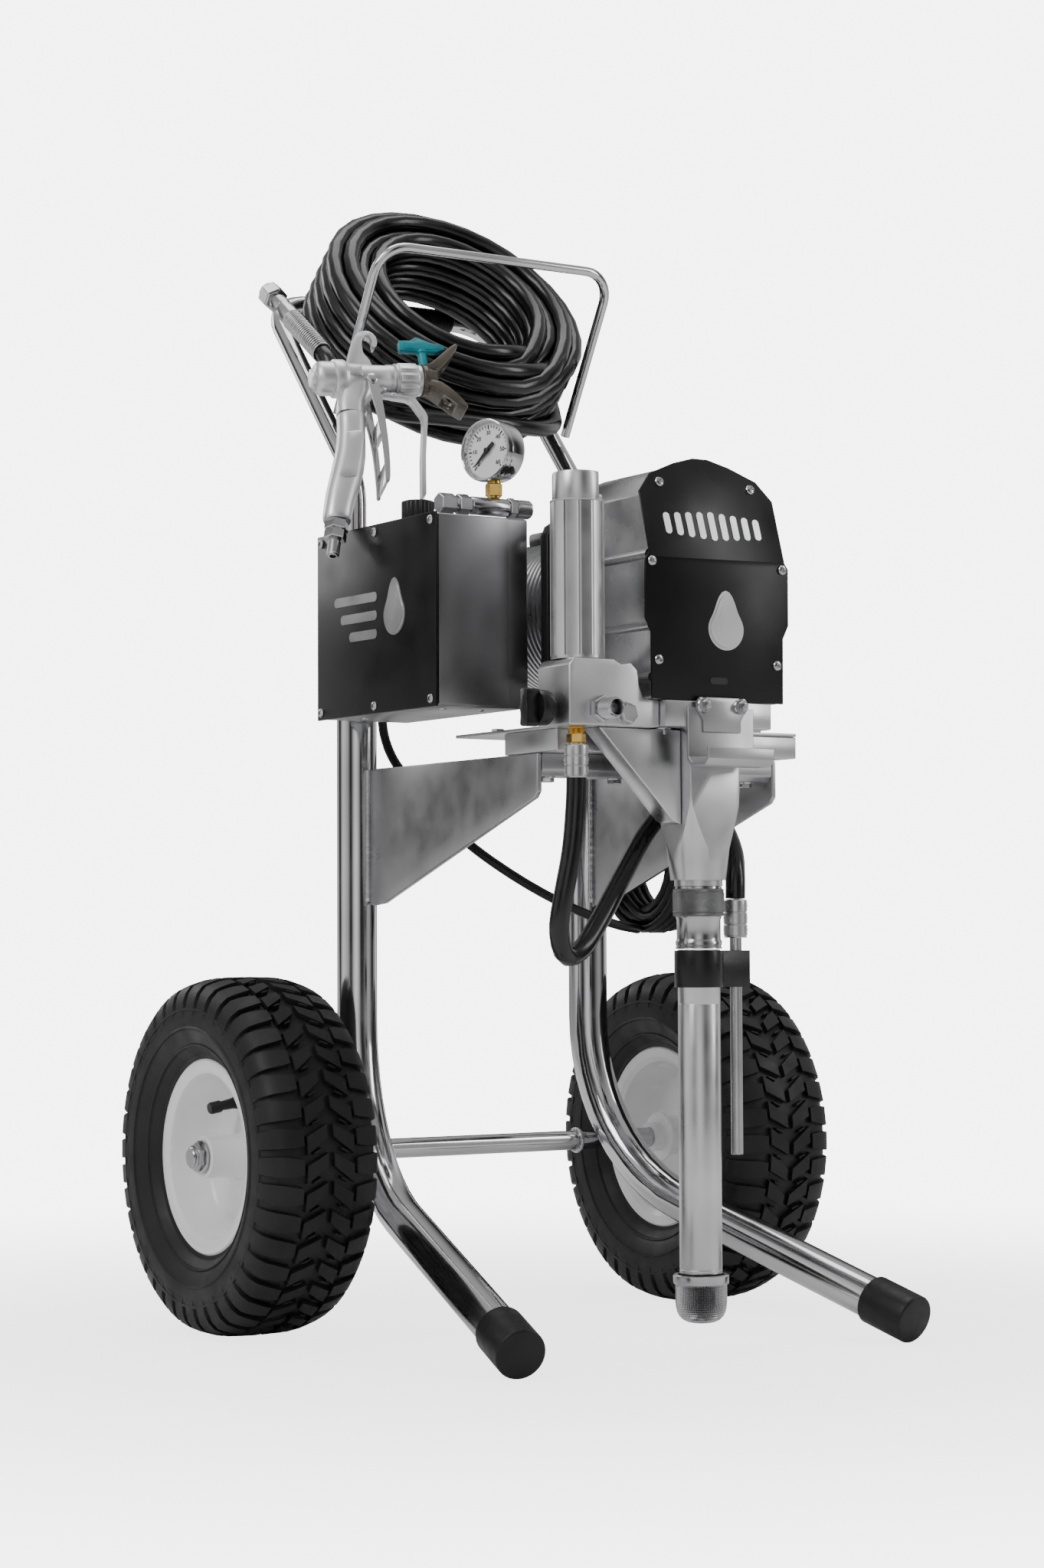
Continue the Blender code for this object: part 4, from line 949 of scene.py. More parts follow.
@dataclass
class PaintHose:
    """The wound paint hose with a fitting on each end."""

    radius: float = 0.0083
    inner: float = 0.079

    def build(self) -> None:
        at = cart(0.014, 0.0834, 0.9827)
        axis = Vector((0.0, -0.757, 0.653)).normalized()
        low = Vector((0.0, -0.653, -0.757)).normalized()
        wide = 2 * self.radius
        layer = wide * 0.866
        radii = [self.inner + self.radius + layer * step for step in (3, 2, 1, 0)]
        rows = []
        for index in range(4):
            shift = wide * (0.25 if index % 2 else -0.25)
            row = [wide * (place - 2) + shift for place in range(5)]
            rows.append(row if index % 2 == 0 else row[::-1])
        coil = Winding(at, axis, low, radii, rows, 70.0, (10.0, 60.0), 0.0006)
        top = cart(-0.16, 0.131, 1.0055)
        run = Vector((0.0, -0.813, -0.582)).normalized()
        start = top + run * 0.1383
        tail = self.tail(coil, start, run)
        turns = coil.line(205.0)
        last = self.inner_end(coil)
        points = tail + turns + last
        hose = tube("paint_hose", points, self.radius, 5, keep=True)
        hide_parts("hose_coil", "hose_tail")
        dress(hose, HOSE)
        first_end = self.guarded_end(top, run)
        other_end = self.plain_end(points[-1], (points[-1] - points[-2]).normalized())
        LOG.info("paint hose %.2f m", span(points))

    def tail(self, coil: Winding, start: Vector, run: Vector) -> list[Vector]:
        """The free run from the guarded end to the winding."""
        knots = [start, start + run * 0.01]
        across = (start - coil.at).x
        down = (start - coil.at).dot(coil.low)
        height = (start - coil.at).dot(coil.axis)
        bend = 0.147 + 0.0025 - down
        for share in (22, 45, 68, 90):
            turn = radians(share)
            knots.append(coil.at + Vector((across + bend * (1 - cos(turn)), 0, 0)) + coil.low
                         * (down + bend * sin(turn)) + coil.axis * height * (1 - share / 90))
        knots.append(coil.at + Vector((across + bend + 0.045, 0, 0)) + coil.low * 0.1495)
        for angle, radius, share in ((0, 0.149, 0.03), (14, 0.1488, 0.16), (28, 0.1485, 0.42),
                                     (42, 0.146, 0.72), (56, 0.1375, 0.95)):
            knots.append(coil.spot(angle, radius, coil.slots[0][0] * share))
        return eased_path(knots, 0.01)

    def inner_end(self, coil: Winding) -> list[Vector]:
        """The last stretch, from the innermost turn into the winding's hole."""
        height = coil.slots[-1][-1]
        side = coil.axis.cross(coil.low)
        turn = radians(205.0)
        radius, bend = coil.radii[-1], 0.067
        centre = coil.at + (radius - bend) * (cos(turn) * coil.low + sin(turn) * side)
        knots = []
        for share in (0.0, 20.0, 40.0, 60.0, 80.0, 100.0, 120.0):
            turn = radians(205.0 + share)
            knots.append(centre + bend * (cos(turn) * coil.low + sin(turn) * side) + coil.axis
                         * (height + 0.001 * ease(share / 60.0)))
        return eased_path(knots, 0.008)[1:]

    def guarded_end(self, top: Vector, run: Vector) -> list[Piece]:
        """The swivel nut, the stem and the spring that guards the hose's end."""
        nut = turned("hose_swivel_nut", [(0.0108, 0.0), (0.0128, 0.0014), (0.0128, 0.0176),
                                         (0.0108, 0.019)], top, run, 6)
        rounded(nut, 0.0005)
        mouth = turned("hose_nut_mouth", [(0.0108, 0.0004), (0.0106, -0.0006), (0.0072, -0.0006),
                                          (0.0068, 0.004), (0.0068, 0.0006)], top, run, 40)
        stem = turned("hose_stem", [(0.0074, 0.018), (0.0074, 0.024), (0.0094, 0.0245),
                                    (0.0094, 0.037), (0.0088, 0.038), (0.0088, 0.041),
                                    (0.0098, 0.0415), (0.0098, 0.06), (0.009, 0.062),
                                    (0.0078, 0.0625)], top, run, 40)
        wire = 0.0011
        turns = 24
        side = RIGHT
        lift = run.cross(side).normalized()
        points = []
        for tick in range(turns * 16 + 1):
            share = tick / (turns * 16)
            turn = 2 * pi * tick / 16
            reach = 0.0099 - 0.0004 * share
            pitch = share ** 1.15
            points.append(top + run * (0.061 + 0.074 * pitch) + side * reach * cos(turn) + lift
                          * reach * sin(turn))
        spring = tube("hose_guard_spring", points, wire, 2)
        core = turned("hose_guard_core", [(0.0083, 0.06), (0.0083, 0.1381)], top, run, 32)
        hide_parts("hose_end_a")
        pieces = [dress(nut, STEEL), dress(mouth, STEEL), dress(stem, STEEL), dress(spring, STEEL),
                  dress(core, HOSE)]
        return pieces

    def plain_end(self, start: Vector, run: Vector) -> list[Piece]:
        """The crimped fitting on the hose's other end."""
        ferrule = turned("hose_ferrule", [(0.0088, 0.0003), (0.0094, 0.002), (0.0094, 0.01),
                                          (0.0088, 0.011), (0.0088, 0.013), (0.0094, 0.014),
                                          (0.0094, 0.024), (0.0088, 0.025), (0.0088, 0.027),
                                          (0.0094, 0.028), (0.0094, 0.036), (0.0075, 0.038),
                                          (0.0075, 0.042)], start, run, 40)
        nut = turned("hose_end_nut", [(0.0092, 0.042), (0.0104, 0.0432), (0.0104, 0.0598),
                                      (0.0092, 0.061)], start, run, 6)
        rounded(nut, 0.0004)
        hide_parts("hose_end_b")
        return [dress(ferrule, STEEL), dress(nut, STEEL)]


# ---- wheels -------------------------------------------------------------------------------------
@dataclass
class Wheel:
    """A treaded tyre on a white pressed rim, with its hub, bearings and valve."""

    tag: str
    side: float
    centre_x: float = 0.2542
    height: float = 0.165
    lugs: int = 40
    crown: tuple[Pair, ...] = ((0.0, 0.165), (0.02, 0.1646), (0.03, 0.164), (0.04, 0.1612),
                               (0.046, 0.159), (0.051, 0.1565), (0.055, 0.15), (0.0572, 0.143),
                               (0.058, 0.137))

    def __post_init__(self) -> None:
        """Work out the wheel's middle and its outward direction."""
        self.centre = Vector((self.side * self.centre_x, AXLE_Y, self.height))
        self.out = Vector((self.side, 0.0, 0.0))

    def build(self) -> None:
        """Build the tyre, the rim and what is on them."""
        body = self.tag + "_wheel"
        dress(self.tyre(), TYRE, body)
        dress(self.rim(), WHITE, body)
        dress(self.hub(), WHITE, body)
        dress(self.bearing(), STEEL, body)
        dress(self.valve(), RUBBER, body)

    def reach(self, width: float) -> float:
        """The tyre's outer radius at a width from its middle."""
        for (w1, r1), (w2, r2) in zip(self.crown, self.crown[1:]):
            if abs(width) <= w2:
                return r1 + (r2 - r1) * (abs(width) - w1) / (w2 - w1)
        return self.crown[-1][1]

    def lug(self, name: str, stations: list[tuple[float, float, float]],
            depth: float = 0.005) -> Piece:
        """One tread block, through stations of (width, start, end along the tread)."""
        rings = []
        for width, start, end in stations:
            top = self.reach(width)
            low = top - depth - 0.002
            ring = []
            for where, radius in ((start, low), (start + 0.0008, top), (end - 0.0008, top),
                                  (end, low)):
                turn = where / 0.165
                ring.append(Vector((width, radius * sin(turn), radius * cos(turn))))
            rings.append(ring)
        return loft(name, rings)

    def tyre(self) -> Piece:
        """The casing with its shoulder lugs and its two rows of slanted blocks."""
        half = [(0.16, 0.0), (0.1594, 0.02), (0.1588, 0.032), (0.155, 0.043), (0.15, 0.0505),
                (0.143, 0.0548), (0.1375, 0.0566), (0.137, 0.058), (0.135, 0.0584),
                (0.1345, 0.0574), (0.128, 0.058), (0.12, 0.0575), (0.119, 0.0585), (0.1176, 0.0583),
                (0.117, 0.0568), (0.11, 0.0545), (0.104, 0.051), (0.1034, 0.0518), (0.1018, 0.0512),
                (0.101, 0.0488), (0.0965, 0.045), (0.094, 0.042), (0.0906, 0.0412), (0.09, 0.04),
                (0.086, 0.038)]
        outline = half + [(radius, -width) for radius, width in half[:0:-1]]
        casing = turned(self.tag + "_tyre_skin", outline, Vector(), RIGHT, 120, ring=True)
        shapes = []
        for hand in (-1, 1):
            shoulder = [(hand * 0.0265, -0.0065, 0.0085), (hand * 0.034, -0.008, 0.01),
                        (hand * 0.042, -0.0092, 0.0104), (hand * 0.049, -0.0098, 0.0104),
                        (hand * 0.0545, -0.0098, 0.01), (hand * 0.0572, -0.0094, 0.0094),
                        (hand * 0.058, -0.0088, 0.0086)]
            middle = [(hand * 0.003, -0.012, 0.0012), (hand * 0.013, -0.0065, 0.009),
                      (hand * 0.0235, -0.001, 0.0165)]
            shapes.append(self.lug("lug", shoulder))
            shapes.append(self.lug("lug", middle))
            sipe = [(hand * 0.01, 0.0095, 0.0128), (hand * 0.017, 0.013, 0.016)]
            shapes.append(self.lug("lug", sipe, 0.003))
        row = joined("lugs", shapes)
        tread = around(row, self.lugs, Vector(), RIGHT)
        tyre = joined(self.tag + "_tyre_skin", [casing, tread])
        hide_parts(self.tag + "_tyre")
        tyre.matrix_world = Matrix.Translation(self.centre) @ Matrix.Rotation(
            0.0 if self.side > 0 else pi, 4, "Z")
        return soften(settle(tyre), 30.0)

    def rim(self) -> Piece:
        """The pressed rim and its disc."""
        outline = [(0.0195, 0.006), (0.03, 0.0052), (0.044, 0.003), (0.056, 0.0012),
                   (0.061, 0.0012), (0.065, 0.003), (0.0678, 0.0075), (0.07, 0.014),
                   (0.073, 0.0215), (0.0748, 0.03), (0.0756, 0.037), (0.0768, 0.0395),
                   (0.08, 0.0411), (0.085, 0.0418), (0.0885, 0.0417), (0.09, 0.0405),
                   (0.0896, 0.0392), (0.083, 0.0385), (0.0785, 0.0362), (0.0768, 0.02),
                   (0.0705, 0.012), (0.07, 0.0), (0.0705, -0.012), (0.0768, -0.02),
                   (0.0785, -0.0362), (0.083, -0.0385), (0.0896, -0.0392), (0.09, -0.0405),
                   (0.0885, -0.0417), (0.08, -0.0411), (0.0756, -0.037), (0.0735, -0.022),
                   (0.068, -0.007), (0.064, -0.0022), (0.056, -0.0022), (0.03, 0.0012),
                   (0.0195, 0.0018)]
        rim = turned(self.tag + "_rim_skin", outline, self.centre, self.out, 96, ring=True)
        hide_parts(self.tag + "_rim")
        return soften(rim, 50.0)

    def hub(self) -> Piece:
        """The hub's tube and the ribs pressed round it."""
        outline = [(0.012, 0.0438), (0.018, 0.044), (0.0192, 0.0434), (0.0195, 0.042),
                   (0.0198, 0.011), (0.0225, 0.0062), (0.0225, 0.002), (0.0198, -0.002),
                   (0.0195, -0.037), (0.018, -0.038), (0.012, -0.038)]
        hub = turned(self.tag + "_hub_skin", outline, self.centre, self.out, 64, ring=True)
        return soften(hub, 40.0)

    def bearing(self) -> Piece:
        """The bearing seals in both ends of the hub."""
        seals = []
        for height, way in ((0.042, 1.0), (-0.036, -1.0)):
            outline = [(0.01, 0.0), (0.01, 0.0012), (0.0112, 0.0016), (0.015, 0.001),
                       (0.0162, 0.0014), (0.0182, 0.0014), (0.0182, -0.004), (0.01, -0.004)]
            seals.append(turned("seal", outline, self.centre + self.out * height, self.out * way,
                                48, ring=True))
        return joined(self.tag + "_hub_bearings", seals)

    def valve(self) -> Piece:
        """The valve's stem and cap, leaning out of the rim's disc."""
        foot = self.centre + Vector((self.side * 0.004, 0.0, 0.05))
        lean = Vector((self.side, 0.0, -0.18)).normalized()
        outline = [(0.0082, -0.003), (0.0082, 0.0), (0.0066, 0.004), (0.005, 0.01), (0.0044, 0.02),
                   (0.0044, 0.0225), (0.0056, 0.023), (0.0056, 0.0325), (0.0046, 0.034)]
        return turned(self.tag + "_valve", outline, foot, lean, 24)


# ---- cart ---------------------------------------------------------------------------------------
@dataclass
class Cart:
    """The bright tube frame with its gussets, handle, hoop, axle ends and feet."""

    post_x: float = 0.1319
    post_y: float = 0.006
    gusset_x: float = 0.1274

    def build(self) -> None:
        """Build every piece of the frame."""
        for node in ("left_frame_tube", "right_frame_tube", "handle_tube", "hose_hoop", "axle"):
            dress(soften(refined(node, 0.0), 60.0), CHROME)
        for tag, side in (("left", -1.0), ("right", 1.0)):
            dress(refined(tag + "_foot_cap", 0.001, 3), RUBBER)
            dress(refined(tag + "_gusset", 0.0012, 3), BRUSHED)
            dress(self.welds(tag, side), STEEL)
            dress(self.axle_end(tag, side), STEEL)
            dress(self.bush(tag, side), WHITE)
            dress(self.sleeve(tag, side), STEEL)
        dress(self.grip(), RUBBER)
        dress(refined("cross_channel", 0.0006), BRUSHED)
        dress(refined("mount_block", 0.0012), SATIN)
        dress(refined("mount_plate", 0.0006), SATIN)
        dress(self.deck_bolts(), STEEL)

    def welds(self, tag: str, side: float) -> Piece:
        """The beads along the gusset and round the axle."""
        beads = []
        rear = self.post_y - 0.0188
        for face in (-1, 1):
            x = side * self.gusset_x + face * 0.0032
            beads.append(weld("bead", [cart(x, rear, 0.4), cart(x, rear, 0.4623),
                                       cart(x, rear, 0.5245)], 0.003))
        ring = []
        for step in range(33):
            turn = 2 * pi * step / 32
            ring.append(cart(side * (self.post_x - 0.019), 0.0106 * sin(turn),
                             0.165 + 0.0106 * cos(turn)))
        beads.append(weld("bead", ring, 0.0022))
        return joined(tag + "_weld_beads", beads)

    def sleeve(self, tag: str, side: float) -> Piece:
        """The stop ring where the handle's tube enters the upright, with its clamp screw."""
        ring = turned("ring", [(0.0098, 0.0), (0.0186, 0.0), (0.019, 0.001), (0.019, 0.0016),
                               (0.011, 0.0022), (0.0098, 0.002)],
                      cart(side * self.post_x, self.post_y, 0.7352), UP, 48, ring=True)
        screw = hex_bolt("screw", cart(side * self.post_x, self.post_y + 0.0188, 0.715), REAR,
                         0.0055)
        return joined(tag + "_handle_stop", [ring, screw])

    def axle_end(self, tag: str, side: float) -> Piece:
        """The washer, the lock nut and the threaded end outside the wheel."""
        out = Vector((side, 0, 0))
        base = cart(side * 0.299, 0.0, 0.165)
        washer = turned("washer", [(0.0152, 0.0002), (0.0156, 0.0006), (0.0156, 0.002),
                                   (0.015, 0.0024)], base, out, 40)
        nut = turned("nut", [(0.0125, 0.0024), (0.0134, 0.003), (0.0134, 0.0074), (0.0124, 0.0082)],
                     base, out, 6)
        crown = turned("crown", [(0.0112, 0.0082), (0.011, 0.0098), (0.0098, 0.0102),
                                 (0.0098, 0.0092)], base, out, 32)
        tip = turned("tip", [(0.0094, 0.0088), *thread(0.0094, 0.009, 0.0032, 0.0016),
                             (0.0082, 0.0128)], base, out, 32)
        return joined(tag + "_axle_nut", [washer, soften(nut, 20.0), crown, tip])

    def bush(self, tag: str, side: float) -> Piece:
        """The white flanged bush on the axle between the frame and the wheel."""
        out = Vector((side, 0, 0))
        base = cart(side * 0.215, 0.0, 0.165)
        outline = [(0.0098, -0.0135), (0.0142, -0.0135), (0.015, -0.0128), (0.015, -0.003),
                   (0.0235, -0.0026), (0.0245, -0.0016), (0.0245, 0.0004), (0.0235, 0.001),
                   (0.0098, 0.001)]
        return turned(tag + "_axle_bush", outline, base - out * 0.0008, out, 48, ring=True)

    def grip(self) -> Piece:
        """The ribbed rubber sleeve on the rear bar."""
        outline = [(0.01, -0.08), (0.012, -0.08), (0.0126, -0.0785), (0.0126, -0.075)]
        for rib in range(36):
            height = -0.0735 + rib * 0.0042
            outline += [(0.0114, height - 0.0006), (0.0114, height + 0.0004),
                        (0.0122, height + 0.001), (0.0122, height + 0.0026)]
        outline += [(0.0126, 0.076), (0.0126, 0.0785), (0.012, 0.08), (0.01, 0.08)]
        grip = turned("handle_grip_skin", outline, cart(0.0, 0.185, 1.0095), RIGHT, 40, ring=True)
        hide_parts("handle_grip")
        return grip

    def deck_bolts(self) -> Piece:
        """The bolts through the deck's block, plate and channel."""
        bolts = []
        for x in (-0.108, -0.036, 0.036, 0.108):
            bolts.append(hex_bolt("bolt", cart(x, -0.29, 0.5061), DOWN, 0.0068, x * 9))
        for x in (-0.105, 0.105):
            bolts.append(hex_bolt("bolt", cart(x, -0.205, 0.5488), UP, 0.0062, x * 7))
            bolts.append(hex_bolt("bolt", cart(x, -0.31, 0.5488), UP, 0.0062, x * 5))
        return joined("deck_bolts", bolts)


# ---- control box and gauge ----------------------------------------------------------------------
@dataclass
class ControlBox:
    """The brushed sheet box, its screwed cover, the pressure knob and the cord's gland."""

    cover_x: float = -0.19
    low: Pair = (-0.238, 0.569)
    high: Pair = (-0.022, 0.742)
    knob_at: Point = (-0.16, -0.157, 0.752)

    def build(self) -> None:
        """Build the box and everything fixed to it."""
        dress(refined("control_box", 0.0008, 2), GREY)
        dress(refined("control_cover", 0.0007, 3), BLACK)
        dress(block("box_front_fold", cart(-0.1868, -0.2384, 0.5712), cart(-0.114, -0.2362, 0.7398),
                    0.0008), GREY)
        dress(self.screws(), STEEL)
        dress(self.inlay(), SATIN)
        dress(self.knob(), PLASTIC, "pressure_knob")
        dress(self.pointer(), WHITE, "pressure_knob")
        dress(self.collar(), PLASTIC)
        dress(self.gland(), RUBBER)
        dress(self.switch(), PLASTIC)
        dress(self.rivets(), STEEL)

    def screws(self) -> Piece:
        """Six pan-head screws round the cover's edge."""
        first = pan_screw("screw", 0.0042)
        spots = [(y, z) for y in (self.low[0] + 0.008, -0.13,
                                  self.high[0] - 0.008) for z in (self.low[1] + 0.007,
                                                                  self.high[1] - 0.007)]
        copies = []
        for index, (y, z) in enumerate(spots):
            turn = LEFT.to_track_quat("Z", "Y").to_matrix().to_4x4()
            copies.append(copied(first, "screw",
                                 Matrix.Translation(cart(self.cover_x, y, z)) @ turn
                                 @ Matrix.Rotation(index * 0.9, 4, "Z")))
        bpy.data.objects.remove(first, do_unlink=True)
        return joined("cover_screws", copies)

    def inlay(self) -> Piece:
        """A plain milled mark on the cover: a drop beside three bars."""
        bars = []
        for index, (left, right, z, high) in enumerate(((-0.13, -0.06, 0.676, 0.009),
                                                        (-0.13, -0.072, 0.659, 0.009),
                                                        (-0.13, -0.088, 0.642, 0.009))):
            outline = []
            for step in range(16):
                turn = 2 * pi * step / 16
                centre = right if cos(turn) > 0 else left
                outline.append((centre + 0.5 * high * cos(turn), 0.5 * high * sin(turn)))
            bars.append(plate("bar", outline, 0.0005, REAR, UP, cart(self.cover_x - 0.0002, 0, z)))
        bars.append(drop_mark(cart(self.cover_x - 0.0002, -0.166, 0.657), FRONT, 0.019))
        return joined("cover_inlay", bars)

    def knob(self) -> Piece:
        """The fluted knob with its dished top."""
        outline = []
        for step in range(96):
            turn = 2 * pi * step / 96
            reach = 0.015 - 0.0011 * max(0.0, cos(turn * 16)) ** 2
            outline.append((reach * cos(turn), reach * sin(turn)))
        knob = plate("pressure_knob_skin", outline, 0.0196, RIGHT, REAR, cart(*self.knob_at), 0.001)
        top = turned("cap", [(0.0122, 0.0096), (0.012, 0.0104), (0.0108, 0.0104), (0.0104, 0.0098)],
                     cart(*self.knob_at), UP, 40)
        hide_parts("pressure_knob")
        return joined("pressure_knob_skin", [knob, top])

    def pointer(self) -> Piece:
        """The white line on the knob."""
        return block("pressure_knob_line", cart(-0.1606, -0.17, 0.7622),
                     cart(-0.1594, -0.1625, 0.7628), 0.0001)

    def collar(self) -> Piece:
        """The ring round the knob's spindle on the box."""
        return turned("knob_collar", [(0.0172, 0.0), (0.0176, 0.0006), (0.017, 0.0008)],
                      cart(-0.16, -0.157, 0.741), UP, 48)

    def gland(self) -> Piece:
        """The strain relief where the supply cord leaves the box."""
        outline = [(0.0112, 0.0), (0.0112, 0.003), (0.0092, 0.004), (0.0086, 0.01),
                   (0.0094, 0.0104), (0.0084, 0.015), (0.009, 0.0154), (0.0078, 0.0205),
                   (0.0083, 0.0209), (0.007, 0.026), (0.005, 0.0275)]
        gland = turned("cord_strain_relief", outline, cart(-0.104, -0.0228, 0.59), REAR, 32)
        for corner in gland.data.vertices:
            run = max(0.0, corner.co.y - (AXLE_Y - 0.0228))
            corner.co.z -= 5.5 * run * run
        return gland

    def switch(self) -> Piece:
        """The rocker switch in its frame on the box's rear face."""
        bezel = block("bezel", cart(-0.16, -0.0229, 0.64), cart(-0.126, -0.02, 0.668), 0.0012)
        rocker = block("rocker", cart(-0.1565, -0.0222, 0.643), cart(-0.1295, -0.0185, 0.665),
                       0.001)
        for corner in rocker.data.vertices:
            if corner.co.y > AXLE_Y - 0.02:
                corner.co.y += 0.0016 * (corner.co.x + 0.143) / 0.0135
        return joined("power_switch", [bezel, rocker])

    def rivets(self) -> Piece:
        """The rivets in the box's floor."""
        spots = ((-0.16, -0.2, 0.57, -UP), (-0.12, -0.2, 0.57, -UP), (-0.16, -0.06, 0.57, -UP))
        return joined("box_rivets", [turned("rivet",
                                            [(0.0032, 0.0), (0.003, 0.0008), (0.002, 0.0014)],
                                            cart(x, y, z), way, 20) for x, y, z, way in spots])


def drop_mark(at: Vector, across: Vector, size: float) -> Piece:
    """A plain milled paint drop, cut as nested rings.

    Args:
        at: The middle of its round part.
        across: The plane's first direction; it stands upright.
        size: Its radius.

    Returns:
        The piece.
    """
    rings = []
    for index, scale in enumerate((1.0, 0.87, 0.74, 0.61, 0.48, 0.35, 0.22)):
        outline = []
        for step in range(40):
            turn = 2 * pi * step / 40
            reach = size * scale * (1.0 + 0.75 * max(0.0, sin(turn)) ** 6)
            outline.append((reach * cos(turn) * (1.0 - 0.25 * max(0.0, sin(turn)) ** 2),
                            reach * sin(turn)))
        rings.append(plate("drop", outline, 0.0006 + 0.0009 * (index % 2) + 0.0001 * index, across,
                           UP, at))
    return joined("drop", rings)


@dataclass
class Gauge:
    """The pressure gauge on its brass stem and the tee under it."""

    at: Point = (-0.074, -0.15, 0.8155)
    facing: Point = (-0.954, -0.3, 0.0)

    def __post_init__(self) -> None:
        """Work out the directions on the dial."""
        self.face = Vector(self.facing).normalized()
        self.side = UP.cross(self.face).normalized()
        self.middle = cart(*self.at)

    def build(self) -> None:
        """Build the gauge, its dial and the tee."""
        dress(self.case(), CHROME)
        dress(self.dial(), WHITE)
        dress(self.scale(), NEEDLE_AND_OPENING_SHADE)
        dress(refined("gauge_needle", 0.0), NEEDLE_AND_OPENING_SHADE, "gauge_needle")
        dress(turned("needle_boss", [(0.0026, 0.0), (0.0026, 0.0014), (0.0018, 0.0019)],
                     self.middle + self.face * 0.0101, self.face, 24), NEEDLE_AND_OPENING_SHADE, "gauge_needle")
        dress(self.stem(), BRASS)
        dress(self.tee(), STEEL)

    def case(self) -> Piece:
        """The case with its rolled bezel."""
        outline = [(0.0256, 0.008), (0.026, 0.012), (0.0268, 0.0136), (0.0282, 0.014),
                   (0.0293, 0.0128), (0.0295, 0.01), (0.0293, 0.0068), (0.0284, 0.0058),
                   (0.0286, 0.004), (0.0286, -0.009), (0.0278, -0.0118), (0.026, -0.013),
                   (0.008, -0.0132), (0.008, 0.006), (0.0256, 0.006)]
        case = turned("gauge_case", outline, self.middle, self.face, 72, ring=True)
        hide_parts("gauge_body")
        plug = turned("plug", [(0.0082, -0.0131), (0.0082, -0.014), (0.006, -0.0144)], self.middle,
                      self.face, 32)
        return joined("gauge_case", [case, plug])

    def dial(self) -> Piece:
        """The dial."""
        return turned("gauge_dial", [(0.0257, 0.006), (0.0257, 0.007), (0.0256, 0.0074)],
                      self.middle, self.face, 64)

    def spot(self, turn: float, reach: float, lift: float = 0.0078) -> Vector:
        """A point on the dial, at an angle clockwise from the zero mark in degrees."""
        angle = radians(225.0 - turn)
        return self.middle + self.face * lift + reach * (cos(angle) * self.side + sin(angle) * UP)

    def scale(self) -> Piece:
        """The marks and figures of the scale."""
        marks = []
        for step in range(31):
            turn = 9.0 * step
            long = step % 5 == 0
            away = (self.spot(turn, 1.0) - self.spot(turn, 0.0)).normalized()
            wide, reach = (0.00055, 0.004) if long else (0.00032, 0.0026)
            marks.append(plate("mark", [(-wide, -reach), (wide, -reach), (wide, 0.0), (-wide, 0.0)],
                               0.0003, away.cross(self.face), away,
                               self.spot(turn, 0.0238, 0.0076)))
        for step in range(0, 31, 5):
            bpy.ops.object.select_all(action="DESELECT")
            bpy.ops.object.text_add()
            figure = bpy.context.object
            figure.data.body = str(step * 2)
            figure.data.size = 0.0056
            figure.data.extrude = 0.0002
            figure.data.align_x = "CENTER"
            figure.data.align_y = "CENTER"
            bpy.ops.object.convert(target="MESH")
            figure = bpy.context.object
            turn = Matrix((self.side, UP, self.face)).transposed().to_4x4()
            figure.matrix_world = Matrix.Translation(self.spot(9.0 * step, 0.0166, 0.0076)) @ turn
            marks.append(settle(figure))
        return joined("gauge_scale", marks)

    def stem(self) -> Piece:
        """The brass hex, with a plain neck and collar, under the gauge."""
        x, y, z = self.at
        low, high = 0.7723, z - 0.0288
        hexagon = turned("gauge_stem_skin", [(0.007, low + 0.001), (0.0079, low + 0.0018),
                                             (0.0079, high - 0.0022), (0.007, high - 0.0012)],
                         cart(x, y, 0.0), UP, 6)
        neck = turned("neck", [(0.0062, low), (0.0062, low + 0.0012)], cart(x, y, 0.0), UP, 32)
        collar = turned("collar", [(0.0066, high - 0.0014), (0.0066, high + 0.0016)],
                        cart(x, y, 0.0), UP, 32)
        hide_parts("gauge_stem")
        return joined("gauge_stem_skin", [soften(hexagon, 20.0), neck, collar])

    def tee(self) -> Piece:
        """The turned tee with its union nut and its threaded outlet."""
        at = cart(-0.0845, self.at[1], 0.7635)
        way = RIGHT
        body = turned("tee_skin", [(0.0075, -0.016), (0.0085, -0.0145), (0.0085, 0.023),
                                   (0.0078, 0.0245)], at, way, 48)
        flat = turned("flat", [(0.0094, -0.03), (0.01, -0.0292), (0.01, -0.0185),
                               (0.0094, -0.0175)], at, way, 6)
        nut = turned("nut", [(0.0092, -0.0495), (0.0098, -0.0486), (0.0098, -0.0345),
                             (0.0092, -0.0335)], at, way, 6)
        neck = turned("neck", [(0.007, -0.034), (0.007, -0.029)], at, way, 32)
        hexagon = turned("hexagon", [(0.0094, 0.0248), (0.01, 0.0256), (0.01, 0.0318),
                                     (0.0094, 0.0326)], at, way, 6)
        outlet = turned("outlet", [(0.0072, 0.0322), *thread(0.0088, 0.033, 0.015), (0.008, 0.049),
                                   (0.0074, 0.0495), (0.0066, 0.0495), (0.004, 0.044),
                                   (0.004, 0.036)], at, way, 40)
        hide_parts("tee_manifold")
        return joined("tee_skin", [body, soften(flat, 20.0), soften(nut, 20.0), neck,
                                   soften(hexagon, 20.0), outlet])


